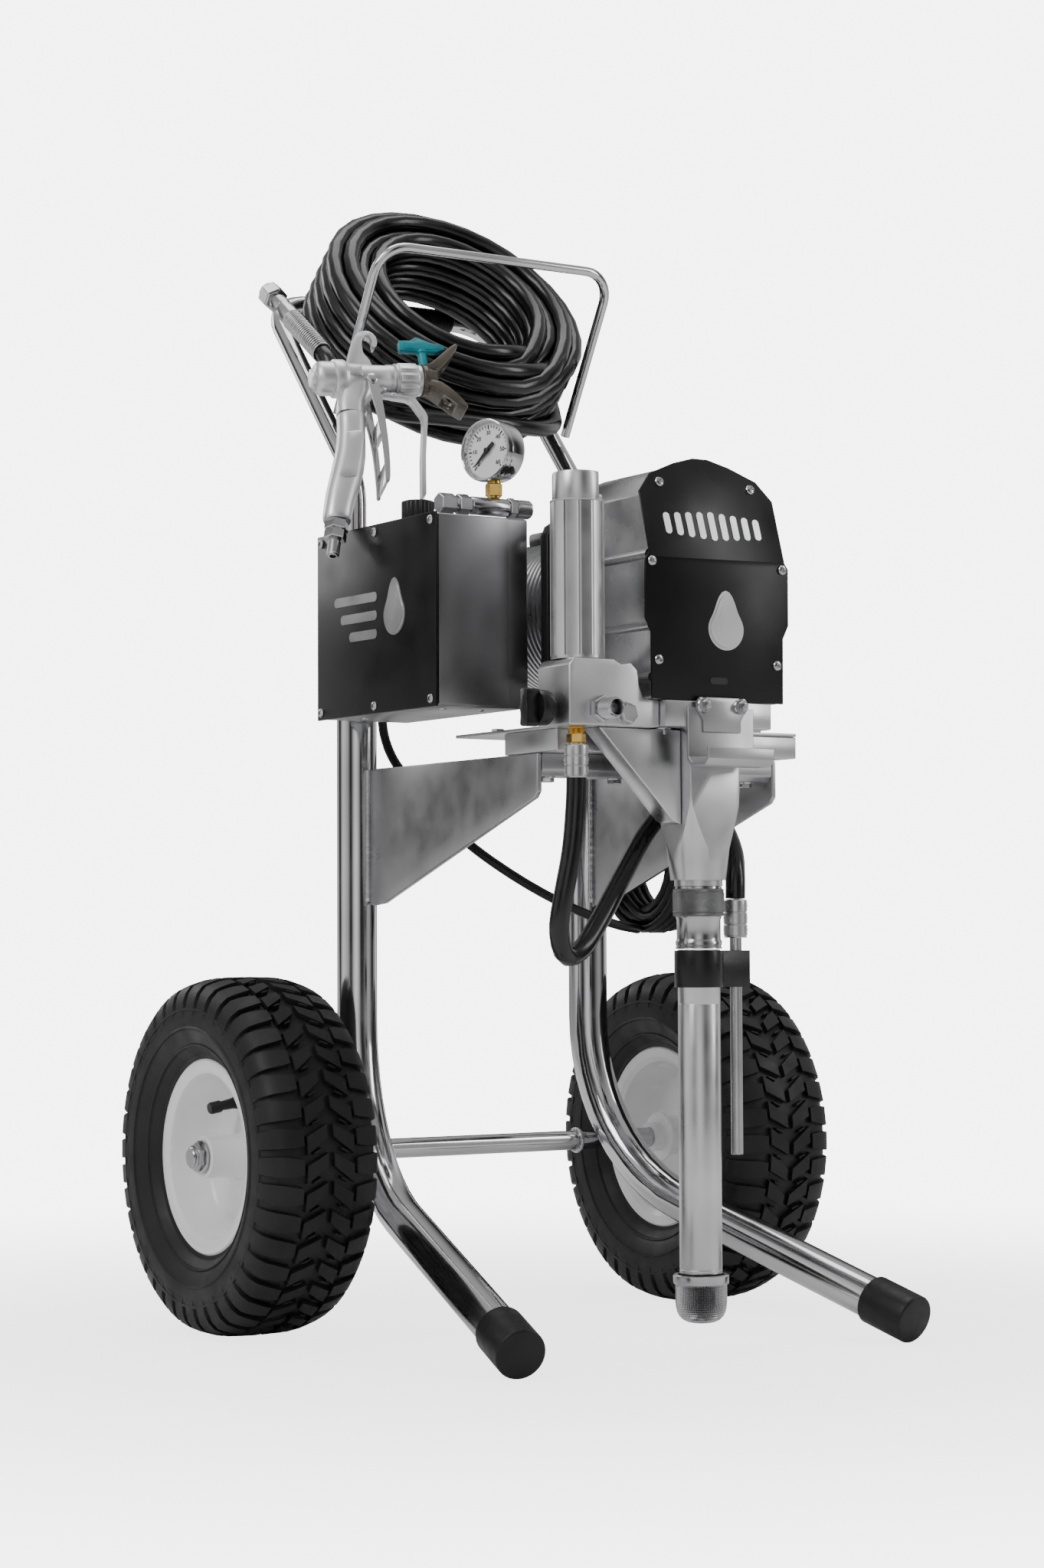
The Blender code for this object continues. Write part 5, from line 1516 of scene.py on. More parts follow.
# ---- motor, gear housing and front cover --------------------------------------------------------
@dataclass
class Drive:
    """The motor, its flange, the gear housing and the screwed front cover."""

    cover_y: float = -0.399
    screw_spots: tuple[Pair, ...] = ((0.07, 0.688), (0.0635, 0.603))

    def build(self) -> None:
        """Build the drive's pieces."""
        dress(refined("gear_housing", 0.0018, 3, 30.0), CAST)
        dress(refined("front_cover", 0.0006, 2, 30.0), BLACK)
        dress(refined("motor_flange", 0.0014, 3), BLACK)
        dress(refined("crank_wheel", 0.0006), STEEL, "crank")
        dress(refined("piston_rod", 0.0005), CHROME, "piston")
        dress(self.bosses(), CAST)
        dress(self.screws(), STEEL)
        dress(self.inlay(), SATIN)
        # painted shade: a dark plate where the cover's slot is
        dress(self.slot(), NEEDLE_AND_OPENING_SHADE)
        dress(self.motor(), SATIN)
        # painted shade: dark plates where the motor's vent slots are
        dress(self.motor_vent_shade(), NEEDLE_AND_OPENING_SHADE)
        dress(self.motor_band(), BLACK)
        dress(self.flange_bolts(), STEEL)

    def bosses(self) -> Piece:
        """The cast ribs that run back along the housing's sides."""
        ribs = []
        for side in (-1, 1):
            for z, wide in ((0.694, 0.0052), (0.6335, 0.005), (0.588, 0.0046)):
                x = side * (0.069 if z > 0.65 else 0.0672)
                ribs.append(tube("rib", [cart(x, -0.3945, z), cart(x, -0.33, z),
                                         cart(x * 0.985, -0.2645, z)], wide, 4, [1.0, 0.92, 0.8]))
        return joined("housing_ribs", ribs)

    def screws(self) -> Piece:
        """Six pan-head screws on the cover, two of them on its leaning top."""
        first = pan_screw("screw", 0.0044)
        lean = radians(16.5)
        copies = []
        for side in (-1, 1):
            for index, (x, z) in enumerate(self.screw_spots):
                turn = FRONT.to_track_quat("Z", "Y").to_matrix().to_4x4()
                copies.append(copied(first, "screw",
                                     Matrix.Translation(cart(side * x, self.cover_y, z)) @ turn
                                     @ Matrix.Rotation(index + side, 4, "Z")))
            way = Vector((0, -cos(lean), sin(lean)))
            above = 0.063
            where = cart(side * 0.049, self.cover_y + above * sin(lean) / cos(lean), 0.697 + above)
            turn = way.to_track_quat("Z", "Y").to_matrix().to_4x4()
            copies.append(copied(first, "screw",
                                 Matrix.Translation(where) @ turn @ Matrix.Rotation(0.7, 4, "Z")))
        bpy.data.objects.remove(first, do_unlink=True)
        return joined("front_cover_screws", copies)

    def inlay(self) -> Piece:
        """A plain milled mark on the cover: a large drop under a row of short bars."""
        marks = [drop_mark(cart(0.008, self.cover_y - 0.0002, 0.633), RIGHT, 0.019)]
        lean = radians(16.5)
        up = Vector((0, sin(lean), cos(lean)))
        for index in range(9):
            x = -0.048 + 0.012 * index
            high = 0.01 - 0.0009 * abs(index - 4)
            outline = []
            for step in range(12):
                turn = 2 * pi * step / 12
                centre = high if sin(turn) > 0 else -high
                outline.append((0.0036 * cos(turn), centre + 0.0036 * sin(turn)))
            at = cart(x, self.cover_y, 0.697) + up * 0.027 + Vector((0, -cos(lean),
                                                                     sin(lean))) * 0.0001
            marks.append(plate("bar", outline, 0.0006, RIGHT, up, at))
        return joined("front_cover_inlay", marks)

    def slot(self) -> Piece:
        """A dark plate at the cover's foot: painted shade standing for the slot's shaded inside."""
        outline = []
        for step in range(20):
            turn = 2 * pi * step / 20
            outline.append(((0.0065 if cos(turn) > 0 else -0.0065) + 0.003 * cos(turn),
                            0.003 * sin(turn)))
        return plate("front_cover_slot_shade", outline, 0.0004, RIGHT, UP,
                     cart(0.0, self.cover_y - 0.0004, 0.587))

    def motor(self) -> Piece:
        """The finned motor body with its rear bell."""
        outline = [(0.068, 0.0), (0.07, 0.004), (0.07, 0.012)]
        for fin in range(17):
            height = 0.015 + fin * 0.0068
            outline += [(0.0672, height), (0.0672, height + 0.0026), (0.0718, height + 0.0032),
                        (0.0718, height + 0.0058)]
        outline += [(0.069, 0.133), (0.0716, 0.1345), (0.072, 0.148), (0.0708, 0.154),
                    (0.066, 0.168), (0.06, 0.175), (0.05, 0.179), (0.03, 0.1798)]
        motor = turned("motor_skin", outline, cart(0.0, -0.2497, 0.664), REAR, 72)
        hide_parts("motor_body")
        return motor

    def motor_vent_shade(self) -> Piece:
        """Dark plates on the rear bell: painted shade standing for the vent slots' shaded insides.
        """
        first = block("vent", Vector((-0.0022, 0.0, 0.0)), Vector((0.0022, 0.016, 0.0004)), 0.0001)
        vents = []
        for step in range(12):
            turn = Matrix.Rotation(2 * pi * step / 12, 4, "Y")
            spot = Matrix.Translation(Vector((0.0, 0.1785, 0.0)))
            lie = Matrix.Rotation(-pi / 2, 4, "X")
            move = Matrix.Translation(cart(0, -0.2497, 0.664)) @ turn @ spot @ Matrix.Translation(
                Vector((0, 0, 0.022))) @ lie
            vents.append(copied(first, "vent", move))
        bpy.data.objects.remove(first, do_unlink=True)
        return joined("motor_vent_shade", vents)

    def motor_band(self) -> Piece:
        """The terminal cover on the motor's top."""
        low = cart(-0.024, -0.19, 0.731)
        return block("terminal_cover", low, cart(0.024, -0.13, 0.744), 0.003)

    def flange_bolts(self) -> Piece:
        """The four bolts in the flange's corners."""
        spots = [(x, z) for x in (-0.079, 0.079) for z in (0.6, 0.722)]
        return joined("flange_bolts",
                      [hex_bolt("bolt", cart(x, -0.2499, z), REAR, 0.0058, x + z) for x,
                       z in spots] + [hex_bolt("bolt", cart(x, -0.2621, z), FRONT, 0.0058,
                                               x + z) for x, z in spots])


# ---- pump ---------------------------------------------------------------------------------------
@dataclass
class Pump:
    """The yoke with the pump's head, the coupling, the siphon tube and its strainer."""

    y: float = -0.3665

    def build(self) -> None:
        """Build the pump from the yoke down."""
        dress(self.yoke(), SATIN)
        dress(refined("yoke_brace", 0.0012), SATIN)
        dress(self.bolts(), STEEL)
        dress(refined("pail_hook", 0.0007, 3), BRUSHED)
        dress(self.hook_plate(), BRUSHED)
        dress(self.hook_nuts(), STEEL)
        dress(self.coupling(), STEEL)
        dress(self.knurled_nut(), KNURLED)
        dress(self.siphon(), SATIN)
        dress(self.strainer_ring(), STEEL)
        dress(self.strainer_mesh(), STEEL)
        dress(self.strainer_lining(), PLASTIC)
        dress(refined("tube_clamp", 0.0008, 2), PLASTIC)

    def yoke(self) -> Piece:
        """The yoke's plate and the head, which runs from square to round."""
        top = block("yoke_skin", cart(-0.057, -0.399, 0.546), cart(0.057, -0.344, 0.569), 0.0014)
        head = block("head", cart(-0.0265, -0.393, 0.4145), cart(0.0265, -0.3415, 0.5475), 0.0012)
        cone = turned("cone", [(0.0243, 0.414), (0.0262, 0.43), (0.0275, 0.442), (0.036, 0.478),
                               (0.042, 0.56)], cart(0, self.y, 0), UP, 96)
        carve(head, cone, "INTERSECT")
        neck = turned("neck", [(0.0211, 0.4091), (0.0211, 0.415)], cart(0, self.y, 0), UP, 64)
        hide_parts("pump_yoke")
        return joined("yoke_skin", [top, soften(head, 25.0), neck])

    def bolts(self) -> Piece:
        """The bolts under the yoke's ends."""
        return joined("yoke_bolts",
                      [hex_bolt("bolt", cart(x, -0.372, 0.5459), DOWN, 0.0085,
                                x * 20) for x in (-0.043, 0.043)])

    def hook_plate(self) -> Piece:
        """The hook's eared plate against the yoke."""
        half = [(0.0, 0.572), (0.024, 0.572), (0.0268, 0.5695), (0.0275, 0.5665), (0.0268, 0.561),
                (0.023, 0.557), (0.02, 0.552), (0.02, 0.542), (0.0, 0.542)]
        outline = half[1:-1] + [(-x, z) for x, z in half[1:-1][::-1]]
        return plate("hook_ears", outline, 0.0016, RIGHT, UP, cart(0, -0.4032, 0), 0.0004)

    def hook_nuts(self) -> Piece:
        """The two flanged nuts that hold the hook."""
        return joined("hook_nuts",
                      [hex_nut("nut", cart(x, -0.404, 0.565), FRONT, 0.0056,
                               0.0028) for x in (-0.0195, 0.0195)])

    def coupling(self) -> Piece:
        """The turned coupling between the head and the siphon tube."""
        outline = [(0.0205, 0.3545), (0.0203, 0.355), (0.0203, 0.356), (0.0196, 0.3565),
                   (0.0196, 0.3575), (0.0203, 0.358), (0.0203, 0.361), (0.0195, 0.3622),
                   (0.0193, 0.364), (0.0193, 0.38), (0.02, 0.3812), (0.02, 0.3832)]
        body = turned("coupling_skin", outline, cart(0, self.y, 0), UP, 64)
        neck = turned("neck", [(0.0206, 0.4068), (0.0203, 0.4088)], cart(0, self.y, 0), UP, 64)
        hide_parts("pump_coupling")
        return joined("coupling_skin", [body, neck])

    def knurled_nut(self) -> Piece:
        """The knurled packing nut."""
        outline = [(0.0208, 0.3828), (0.0224, 0.3836), (0.0224, 0.3856), (0.0219, 0.3862),
                   (0.0226, 0.3868), (0.0226, 0.4032), (0.022, 0.4042), (0.0224, 0.405),
                   (0.0222, 0.4064), (0.0206, 0.407)]
        return turned("packing_nut", outline, cart(0, self.y, 0), UP, 96)

    def siphon(self) -> Piece:
        """The siphon tube with its turned bands."""
        outline = [(0.016, 0.0723), (0.0182, 0.0723), (0.0186, 0.073), (0.0186, 0.076),
                   (0.0183, 0.0764), (0.0186, 0.077), (0.0186, 0.306), (0.0184, 0.3064),
                   (0.0186, 0.3068), (0.0186, 0.3535), (0.0182, 0.354), (0.016, 0.354)]
        siphon = turned("siphon_skin", outline, cart(0, self.y, 0), UP, 96, ring=True)
        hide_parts("siphon_tube")
        return soften(siphon, 40.0)

    def strainer_ring(self) -> Piece:
        """The strainer's collar."""
        outline = [(0.0205, 0.072), (0.0236, 0.072), (0.0243, 0.0713), (0.0243, 0.0648),
                   (0.0238, 0.064), (0.0205, 0.0636)]
        ring = turned("strainer_collar", outline, cart(0, self.y, 0), UP, 64, ring=True)
        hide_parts("strainer")
        return ring

    def strainer_lining(self) -> Piece:
        """The dark fine lining behind the wires."""
        outline = [(0.008, 0.032), (0.014, 0.0338), (0.0178, 0.0372), (0.0198, 0.042),
                   (0.0206, 0.048), (0.0208, 0.056), (0.0208, 0.064)]
        return turned("strainer_lining", outline, cart(0, self.y, 0), UP, 48)

    def strainer_mesh(self) -> Piece:
        """The wire basket, woven of crossed wires."""
        outline = [(0.003, 0.03), (0.0075, 0.0304), (0.012, 0.0313), (0.016, 0.0332),
                   (0.019, 0.0362), (0.0208, 0.04), (0.0217, 0.044), (0.0221, 0.048),
                   (0.0222, 0.052), (0.0222, 0.056), (0.0222, 0.06), (0.0221, 0.0645)]
        basket = turned("strainer_basket", outline, cart(0, self.y, 0), UP, 56)
        pick(basket)
        bpy.ops.object.mode_set(mode="EDIT")
        bpy.ops.mesh.select_all(action="SELECT")
        bpy.ops.mesh.subdivide(number_cuts=1)
        bpy.ops.object.mode_set(mode="OBJECT")
        wires = basket.modifiers.new("wires", "WIREFRAME")
        wires.thickness = 0.0008
        wires.use_even_offset = False
        wires.use_replace = True
        return soften(apply(basket), 60.0)


# ---- fluid manifold -----------------------------------------------------------------------------
@dataclass
class Manifold:
    """The fluid manifold with its filter bowl, relief handle, outlet and plug."""

    x: float = -0.125
    y: float = -0.366

    def build(self) -> None:
        """Build the manifold's pieces."""
        dress(refined("fluid_manifold", 0.0016, 3, 25.0), SATIN)
        dress(self.bowl(), SATIN)
        dress(self.cap(), SATIN)
        dress(self.relief(), PLASTIC, "relief_knob")
        dress(self.outlet(), STEEL)
        dress(self.plug(), STEEL)

    def bowl(self) -> Piece:
        """The bowl, cut with flats and narrow grooves."""
        outline = []
        for step in range(144):
            turn = 2 * pi * step / 144
            wave = (step % 12) / 12
            groove = 0.0011 if wave in (0.0, 1 / 12) else 0.0
            flat = 0.0235 * (1 - 0.018 * sin(pi * wave))
            outline.append(((flat - groove) * cos(turn), (flat - groove) * sin(turn)))
        bowl = plate("filter_bowl_skin", outline, 0.133, RIGHT, REAR, cart(self.x, self.y, 0.6715))
        foot = turned("foot", [(0.0228, 0.6024), (0.0234, 0.603), (0.0234, 0.6052)],
                      cart(self.x, self.y, 0), UP, 72)
        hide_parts("filter_bowl")
        return joined("filter_bowl_skin", [soften(bowl, 12.0), foot])

    def cap(self) -> Piece:
        """The bowl's cap with its wrench flat."""
        outline = [(0.0236, 0.7378), (0.0237, 0.7384), (0.0232, 0.7392), (0.0213, 0.7394),
                   (0.0213, 0.7402), (0.0215, 0.741), (0.0215, 0.7615), (0.0208, 0.7635),
                   (0.019, 0.764)]
        cap = turned("filter_cap", outline, cart(self.x, self.y, 0), UP, 72)
        tool = block("flat", cart(self.x + 0.01, self.y - 0.03, 0.744),
                     cart(self.x + 0.03, self.y - 0.002, 0.772), 0.0004)
        return soften(carve(cap, tool), 30.0)

    def relief(self) -> Piece:
        """The relief handle: a round body behind a grooved cross bar."""
        at = cart(-0.1503, self.y, 0.56)
        way = LEFT
        body = turned("relief_skin", [(0.0085, 0.0), (0.0085, 0.006), (0.0145, 0.0066),
                                      (0.0152, 0.008), (0.0152, 0.0165), (0.0142, 0.018)], at, way,
                      48)
        bar = [(0.0145, -0.006), (0.016, -0.004), (0.0162, 0.004), (0.0145, 0.0062),
               (0.006, 0.0052), (0.0, 0.0066), (-0.006, 0.0052), (-0.0145, 0.0062),
               (-0.0162, 0.004), (-0.016, -0.004), (-0.0145, -0.006), (-0.006, -0.0052),
               (0.0, -0.0066), (0.006, -0.0052)]
        handle = plate("handle", bar, 0.014, UP, REAR, at + way * 0.0235, 0.0014)
        lip = plate("lip", [(0.011, -0.0034), (0.011, 0.0034), (-0.011, 0.0034), (-0.011, -0.0034)],
                    0.015, UP, REAR, at + way * 0.0235, 0.001)
        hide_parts("relief_knob")
        return joined("relief_skin", [body, handle, lip])

    def outlet(self) -> Piece:
        """The hex and the threaded end that the paint hose screws on."""
        at = cart(-0.119, self.y - 0.0253, 0.559)
        way = FRONT
        base = turned("outlet_skin", [(0.0106, 0.0), (0.0115, 0.0008), (0.0115, 0.0062),
                                      (0.0104, 0.0072)], at, way, 6)
        end = turned("end", [(0.0078, 0.0068), *thread(0.009, 0.0085, 0.015), (0.008, 0.025),
                             (0.0076, 0.026), (0.0068, 0.026), (0.0048, 0.0215), (0.0048, 0.011)],
                     at, way, 40)
        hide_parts("outlet_fitting")
        return joined("outlet_skin", [soften(base, 20.0), end])

    def plug(self) -> Piece:
        """The hex plug beside the outlet."""
        return hex_bolt("manifold_plug", cart(-0.092, self.y - 0.0252, 0.556), FRONT, 0.0088, 0.3)


# ---- return line --------------------------------------------------------------------------------
@dataclass
class ReturnLine:
    """The return hose, the fittings on its ends and the steel tube below."""

    radius: float = 0.0088
    y: float = -0.3665

    def build(self) -> None:
        route = [(-0.127, -0.366, 0.5014), (-0.128, -0.366, 0.478), (-0.132, -0.366, 0.44),
                 (-0.139, -0.364, 0.402), (-0.141, -0.359, 0.372), (-0.13, -0.352, 0.35),
                 (-0.108, -0.343, 0.354), (-0.082, -0.334, 0.38), (-0.05, -0.324, 0.42),
                 (-0.02, -0.316, 0.456), (0.008, -0.312, 0.48), (0.032, -0.316, 0.484),
                 (0.049, -0.331, 0.468), (0.05, -0.35, 0.442), (0.042, -0.364, 0.42),
                 (0.04, self.y, 0.3989)]
        points = eased_path([cart(*spot) for spot in route], 0.009)
        hose = tube("return_hose_line", points, self.radius, 6, keep=True)
        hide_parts("return_hose")
        dress(hose, HOSE)
        length = span(points)
        upper = self.ferrule("upper_ferrule", cart(-0.127, -0.366, 0.5302), 0.029)
        lower = self.ferrule("lower_ferrule", cart(0.04, self.y, 0.398), 0.034)
        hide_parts("return_tube")
        tuple(points[0])
        dress(upper, SATIN)
        dress(lower, SATIN)
        dress(self.elbow(), BRASS)
        dress(self.pipe(), STEEL)

    def ferrule(self, name: str, top: Vector, length: float) -> Piece:
        """A crimped ferrule hanging from a point."""
        outline = [(0.0072, 0.0), (0.0096, 0.0005), (0.0104, 0.0014)]
        bands = 3
        for band in range(bands):
            begin = 0.0014 + (length - 0.0024) * band / bands
            end = 0.0014 + (length - 0.0024) * (band + 1) / bands
            outline += [(0.0105, begin + 0.0006), (0.0105, end - 0.0014), (0.0098, end - 0.0009),
                        (0.0098, end - 0.0003)]
        outline += [(0.0103, length - 0.0006), (0.0098, length)]
        sleeve = turned(name, outline, top, DOWN, 40)
        dimples = []
        for band in range(bands):
            for step in range(8):
                turn = 2 * pi * step / 8 + 0.2
                where = top + Vector((0.0103 * cos(turn), 0.0103 * sin(turn),
                                      -0.0014 - (length - 0.0024) * (band + 0.42) / bands))
                dimples.append(turned("dimple", [(0.001, 0.0), (0.0008, 0.0005)], where,
                                      Vector((cos(turn), sin(turn), 0)), 8))
        return joined(name, [sleeve, *dimples])

    def elbow(self) -> Piece:
        """The brass hex and its threads under the manifold."""
        at = cart(-0.127, -0.366, 0.5446)
        way = DOWN
        upper = turned("return_fitting_skin", [(0.0068, 0.0),
                                               *thread(0.0074, 0.0004, 0.005, 0.0012),
                                               (0.0068, 0.0056)], at, way, 32)
        hexagon = turned("hexagon", [(0.0076, 0.0056), (0.0084, 0.0062), (0.0084, 0.0128),
                                     (0.0076, 0.0136)], at, way, 6)
        neck = turned("neck", [(0.0066, 0.0134), (0.0066, 0.0146)], at, way, 32)
        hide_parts("return_fitting")
        return joined("return_fitting_skin", [upper, soften(hexagon, 20.0), neck])

    def pipe(self) -> Piece:
        """The straight steel tube down to its open end."""
        outline = [(0.0038, 0.174), (0.0048, 0.174), (0.0053, 0.1746), (0.0053, 0.3645),
                   (0.0038, 0.3645)]
        return turned("return_pipe", outline, cart(0.04, self.y, 0), UP, 40, ring=True)


# ---- supply cord --------------------------------------------------------------------------------
@dataclass
class SupplyCord:
    """The supply cord, wound on its peg, with its plug."""

    radius: float = 0.0045
    at: Point = (0.152, -0.082, 0.437)

    def build(self) -> None:
        x, y, z = self.at
        heights = [-0.0135, -0.0045, 0.0045, 0.0135]
        rows = [heights, heights[::-1], heights]
        radii = [0.0635, 0.0545, 0.0455]
        coil = Winding(cart(*self.at), RIGHT, DOWN, radii, rows, 40.0, (-20.0, 34.0), 0.0004)
        knots = [(-0.104, -0.0227, 0.59), (-0.104, -0.008, 0.5895), (-0.102, 0.008, 0.58),
                 (-0.098, 0.012, 0.56), (-0.092, 0.004, 0.536), (-0.08, -0.018, 0.506),
                 (-0.066, -0.046, 0.476), (-0.046, -0.068, 0.45), (-0.018, -0.084, 0.427),
                 (0.014, -0.094, 0.4075), (0.048, -0.099, 0.392), (0.076, -0.1005, 0.3825),
                 (0.0985, -0.1, 0.3765), (0.1185, -0.0946, 0.3738), (0.1325, -0.0805, 0.3734)]
        lead = [cart(*spot) for spot in knots]
        lead += [coil.spot(21.0, 0.0637, heights[0] - 0.0002), coil.spot(40.0, 0.0635, heights[0])]
        run = eased_path(lead, 0.0085)
        turns = coil.line(212.0, 15.0)
        height = heights[-1]
        drop = [turns[-1], coil.spot(222.0, 0.045, height + 0.002),
                coil.spot(234.0, 0.043, height + 0.009)]
        end = Vector((x + 0.0345, coil.spot(215.0, 0.0455, 0.0).y, z - 0.012))
        drop += [end + Vector((-0.0035, 0.0, 0.016)), end]
        tail = eased_path(drop, 0.007)[1:]
        points = run + turns[1:] + tail
        cord = tube("supply_cord", points, self.radius, 4, keep=True)
        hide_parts("power_cord", "power_cord_coil")
        dress(cord, RUBBER)
        plug = self.plug(points[-1])
        length = span(points)
        LOG.info("supply cord %.2f m", length)
        tuple(points[0])
        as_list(plug)
        dress(refined("cord_peg", 0.001), STEEL)

    def plug(self, top: Vector) -> list[Piece]:
        """The moulded plug with its three pins, hanging from the cord's end."""
        way = DOWN
        outline = [(0.005, -0.01), (0.006, -0.0095), (0.0062, 0.000), (0.0068, 0.0004),
                   (0.0072, 0.006), (0.008, 0.0064), (0.011, 0.012), (0.0142, 0.018),
                   (0.015, 0.022), (0.015, 0.033), (0.0138, 0.0345)]
        body = turned("plug_skin", outline, top, way, 36)
        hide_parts("power_plug")
        pins = [block("pin", top + Vector((-0.0008 + dx, -0.0032, -0.052)),
                      top + Vector((0.0008 + dx, 0.0032, -0.034)),
                      0.0004) for dx in (-0.0064, 0.0064)]
        pins.append(turned("pin", [(0.0024, 0.034), (0.0024, 0.0515), (0.0014, 0.0535)],
                           top + Vector((0, 0.0078, 0)), way, 20))
        return [dress(body, PLASTIC), dress(joined("plug_pins", pins), BRASS)]


# ---- spray gun ----------------------------------------------------------------------------------
@dataclass
class SprayGun:
    """The spray gun, hung by its hook on the hose hoop.

    Attributes:
        at: The middle of the barrel's rear, in the row frame.
        ahead: The way the gun points.
        across: The gun's left.
        up: The gun's top.
    """

    at: Point = (-0.183, 0.0925, 0.893)
    ahead: Point = (0.97258, -0.23061, 0.03008)
    across: Point = (0.22422, 0.89547, -0.3845)
    up: Point = (0.06174, 0.3807, 0.92263)
    stem_at: float = 0.1
    pivot: Pair = (0.04, -0.01)

    def spot(self, f: float, u: float, a: float = 0.0) -> Vector:
        """A place on the gun, forward, up and across from the barrel's rear."""
        return (Vector(self.at) + f * Vector(self.ahead) + u * Vector(self.up)
                + a * Vector(self.across))

    def flat(self, name: str, outline: list[Pair], thick: float, a: float = 0.0,
             rounding: float = 0.0, smooth: bool = False) -> Piece:
        """A plate in the gun's upright plane; smooth runs a curve through the outline."""
        if smooth:
            knots = [Vector((f, u, 0.0)) for f, u in outline]
            ring = eased_path(knots + [knots[0]], 0.0014)[:-1]
            outline = [(knot.x, knot.y) for knot in ring]
        return plate(name, outline, thick, Vector(self.ahead), Vector(self.up), self.spot(0, 0, a),
                     rounding)

    def sweep(self, name: str, stations: list[tuple[float, float, float, float]]) -> Piece:
        """A rounded bar through stations of (forward, up, half depth, half width)."""
        rings = []
        for index, (f, u, deep, wide) in enumerate(stations):
            f0, u0 = stations[max(0, index - 1)][:2]
            f1, u1 = stations[min(len(stations) - 1, index + 1)][:2]
            run = Vector((f1 - f0, u1 - u0)).normalized()
            ring = []
            for step in range(28):
                turn = 2 * pi * step / 28
                c, s = cos(turn), sin(turn)
                c, s = abs(c) ** 0.82 * (1 if c > 0 else -1), abs(s) ** 0.82 * (1 if s > 0 else -1)
                ring.append(self.spot(f - run.y * deep * c, u + run.x * deep * c, wide * s))
            rings.append(ring)
        return soften(loft(name, rings), 45.0)

    def build(self) -> None:
        """Build the gun from its hook to its tip."""
        dress(self.body(), GUN_METAL)
        dress(self.handle(), GUN_METAL)
        dress(self.badge(), SATIN)
        dress(self.pins(), STEEL)
        dress(self.trigger(), CHROME, "gun_trigger")
        dress(self.strap(), GUN_METAL)
        dress(self.nozzle_nut(), GUN_METAL)
        dress(self.guard(), BRONZE)
        dress(self.tip(), TEAL, "spray_tip")
        dress(self.tip_pin(), STEEL, "spray_tip")
        dress(self.swivel(), STEEL, "gun_swivel")

    def body(self) -> Piece:
        """The barrel with its rear cap, the hook and the shoulder above the handle."""
        ahead = Vector(self.ahead)
        outline = [(0.005, -0.015), (0.0084, -0.0146), (0.0092, -0.0136), (0.0094, -0.0112),
                   (0.0132, -0.0104), (0.0156, -0.008), (0.0165, -0.004), (0.0165, 0.0054),
                   (0.0158, 0.0059), (0.0158, 0.0066), (0.0182, 0.0071), (0.0186, 0.008),
                   (0.0186, 0.0162), (0.0181, 0.0174), (0.0166, 0.0182), (0.0158, 0.02),
                   (0.015, 0.026), (0.0144, 0.034), (0.0141, 0.046), (0.014, 0.0585),
                   (0.0146, 0.0595), (0.0146, 0.065), (0.0139, 0.0666)]
        barrel = turned("gun_barrel", outline, self.spot(0, 0), ahead, 64)
        hook = [(0.017, 0.008), (0.03, 0.006), (0.047, 0.008), (0.0462, 0.016), (0.044, 0.0215),
                (0.0405, 0.027), (0.04, 0.033), (0.0408, 0.041), (0.044, 0.046), (0.048, 0.0462),
                (0.0508, 0.042), (0.0508, 0.0345), (0.053, 0.0338), (0.0556, 0.039), (0.055, 0.046),
                (0.051, 0.0508), (0.045, 0.0522), (0.0385, 0.05), (0.0325, 0.043), (0.0275, 0.031),
                (0.023, 0.019)]
        arm = self.flat("hook", hook, 0.0098, 0.0, 0.0016, True)
        shoulder = self.sweep("shoulder", [(0.033, -0.002, 0.02, 0.0118),
                                           (0.031, -0.009, 0.0185, 0.0118),
                                           (0.027, -0.017, 0.0155, 0.0116),
                                           (0.0228, -0.025, 0.0138, 0.0115),
                                           (0.02, -0.033, 0.0134, 0.0118),
                                           (0.019, -0.041, 0.0132, 0.012)])
        lug = self.sweep("lug", [(0.05, -0.001, 0.01, 0.009), (0.052, -0.009, 0.008, 0.008),
                                 (0.0545, -0.015, 0.0052, 0.006)])
        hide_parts("gun_body")
        return joined("gun_body_skin", [barrel, arm, shoulder, lug])

    def handle(self) -> Piece:
        """The slender curved handle with its raised blank panel."""
        grip = self.sweep("gun_handle_skin", [
            (0.019, -0.0418, 0.013, 0.012), (0.019, -0.044, 0.0136, 0.0124),
            (0.0186, -0.05, 0.0134, 0.0124), (0.017, -0.06, 0.0132, 0.0126),
            (0.015, -0.0725, 0.0136, 0.013), (0.0125, -0.085, 0.0144, 0.0134),
            (0.0082, -0.1, 0.015, 0.0136), (0.003, -0.115, 0.015, 0.0134),
            (-0.002, -0.128, 0.0145, 0.013), (-0.006, -0.14, 0.0138, 0.0126),
            (-0.0088, -0.15, 0.0134, 0.0122), (-0.0098, -0.1545, 0.0128, 0.0118),
            (-0.01, -0.156, 0.0118, 0.011)])
        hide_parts("gun_handle")
        panel = [(0.0165, -0.066), (0.013, -0.085), (0.008, -0.101), (0.003, -0.114)]
        half = 0.0078
        sides = []
        for way in (-1, 1):
            left = [(f - half, u) for f, u in panel]
            right = [(f + half, u) for f, u in panel][::-1]
            sides.append(self.flat("panel", left + right, 0.0028, way * 0.0127, 0.0009, True))
        return joined("gun_handle_skin", [grip, *sides])

    def badge(self) -> Piece:
        """The blank label plates on the body's sides."""
        frames = []
        for way in (-1, 1):
            frames.append(self.flat("badge", [(0.019, -0.0052), (0.0328, -0.0052), (0.0328, 0.0062),
                                              (0.019, 0.0062)], 0.003, way * 0.0138, 0.0008))
            frames.append(self.flat("field", [(0.0204, -0.0038), (0.0314, -0.0038),
                                              (0.0314, 0.0048), (0.0204, 0.0048)], 0.0006,
                                    way * 0.0154, 0.0002))
        return joined("gun_blank_badges", frames)

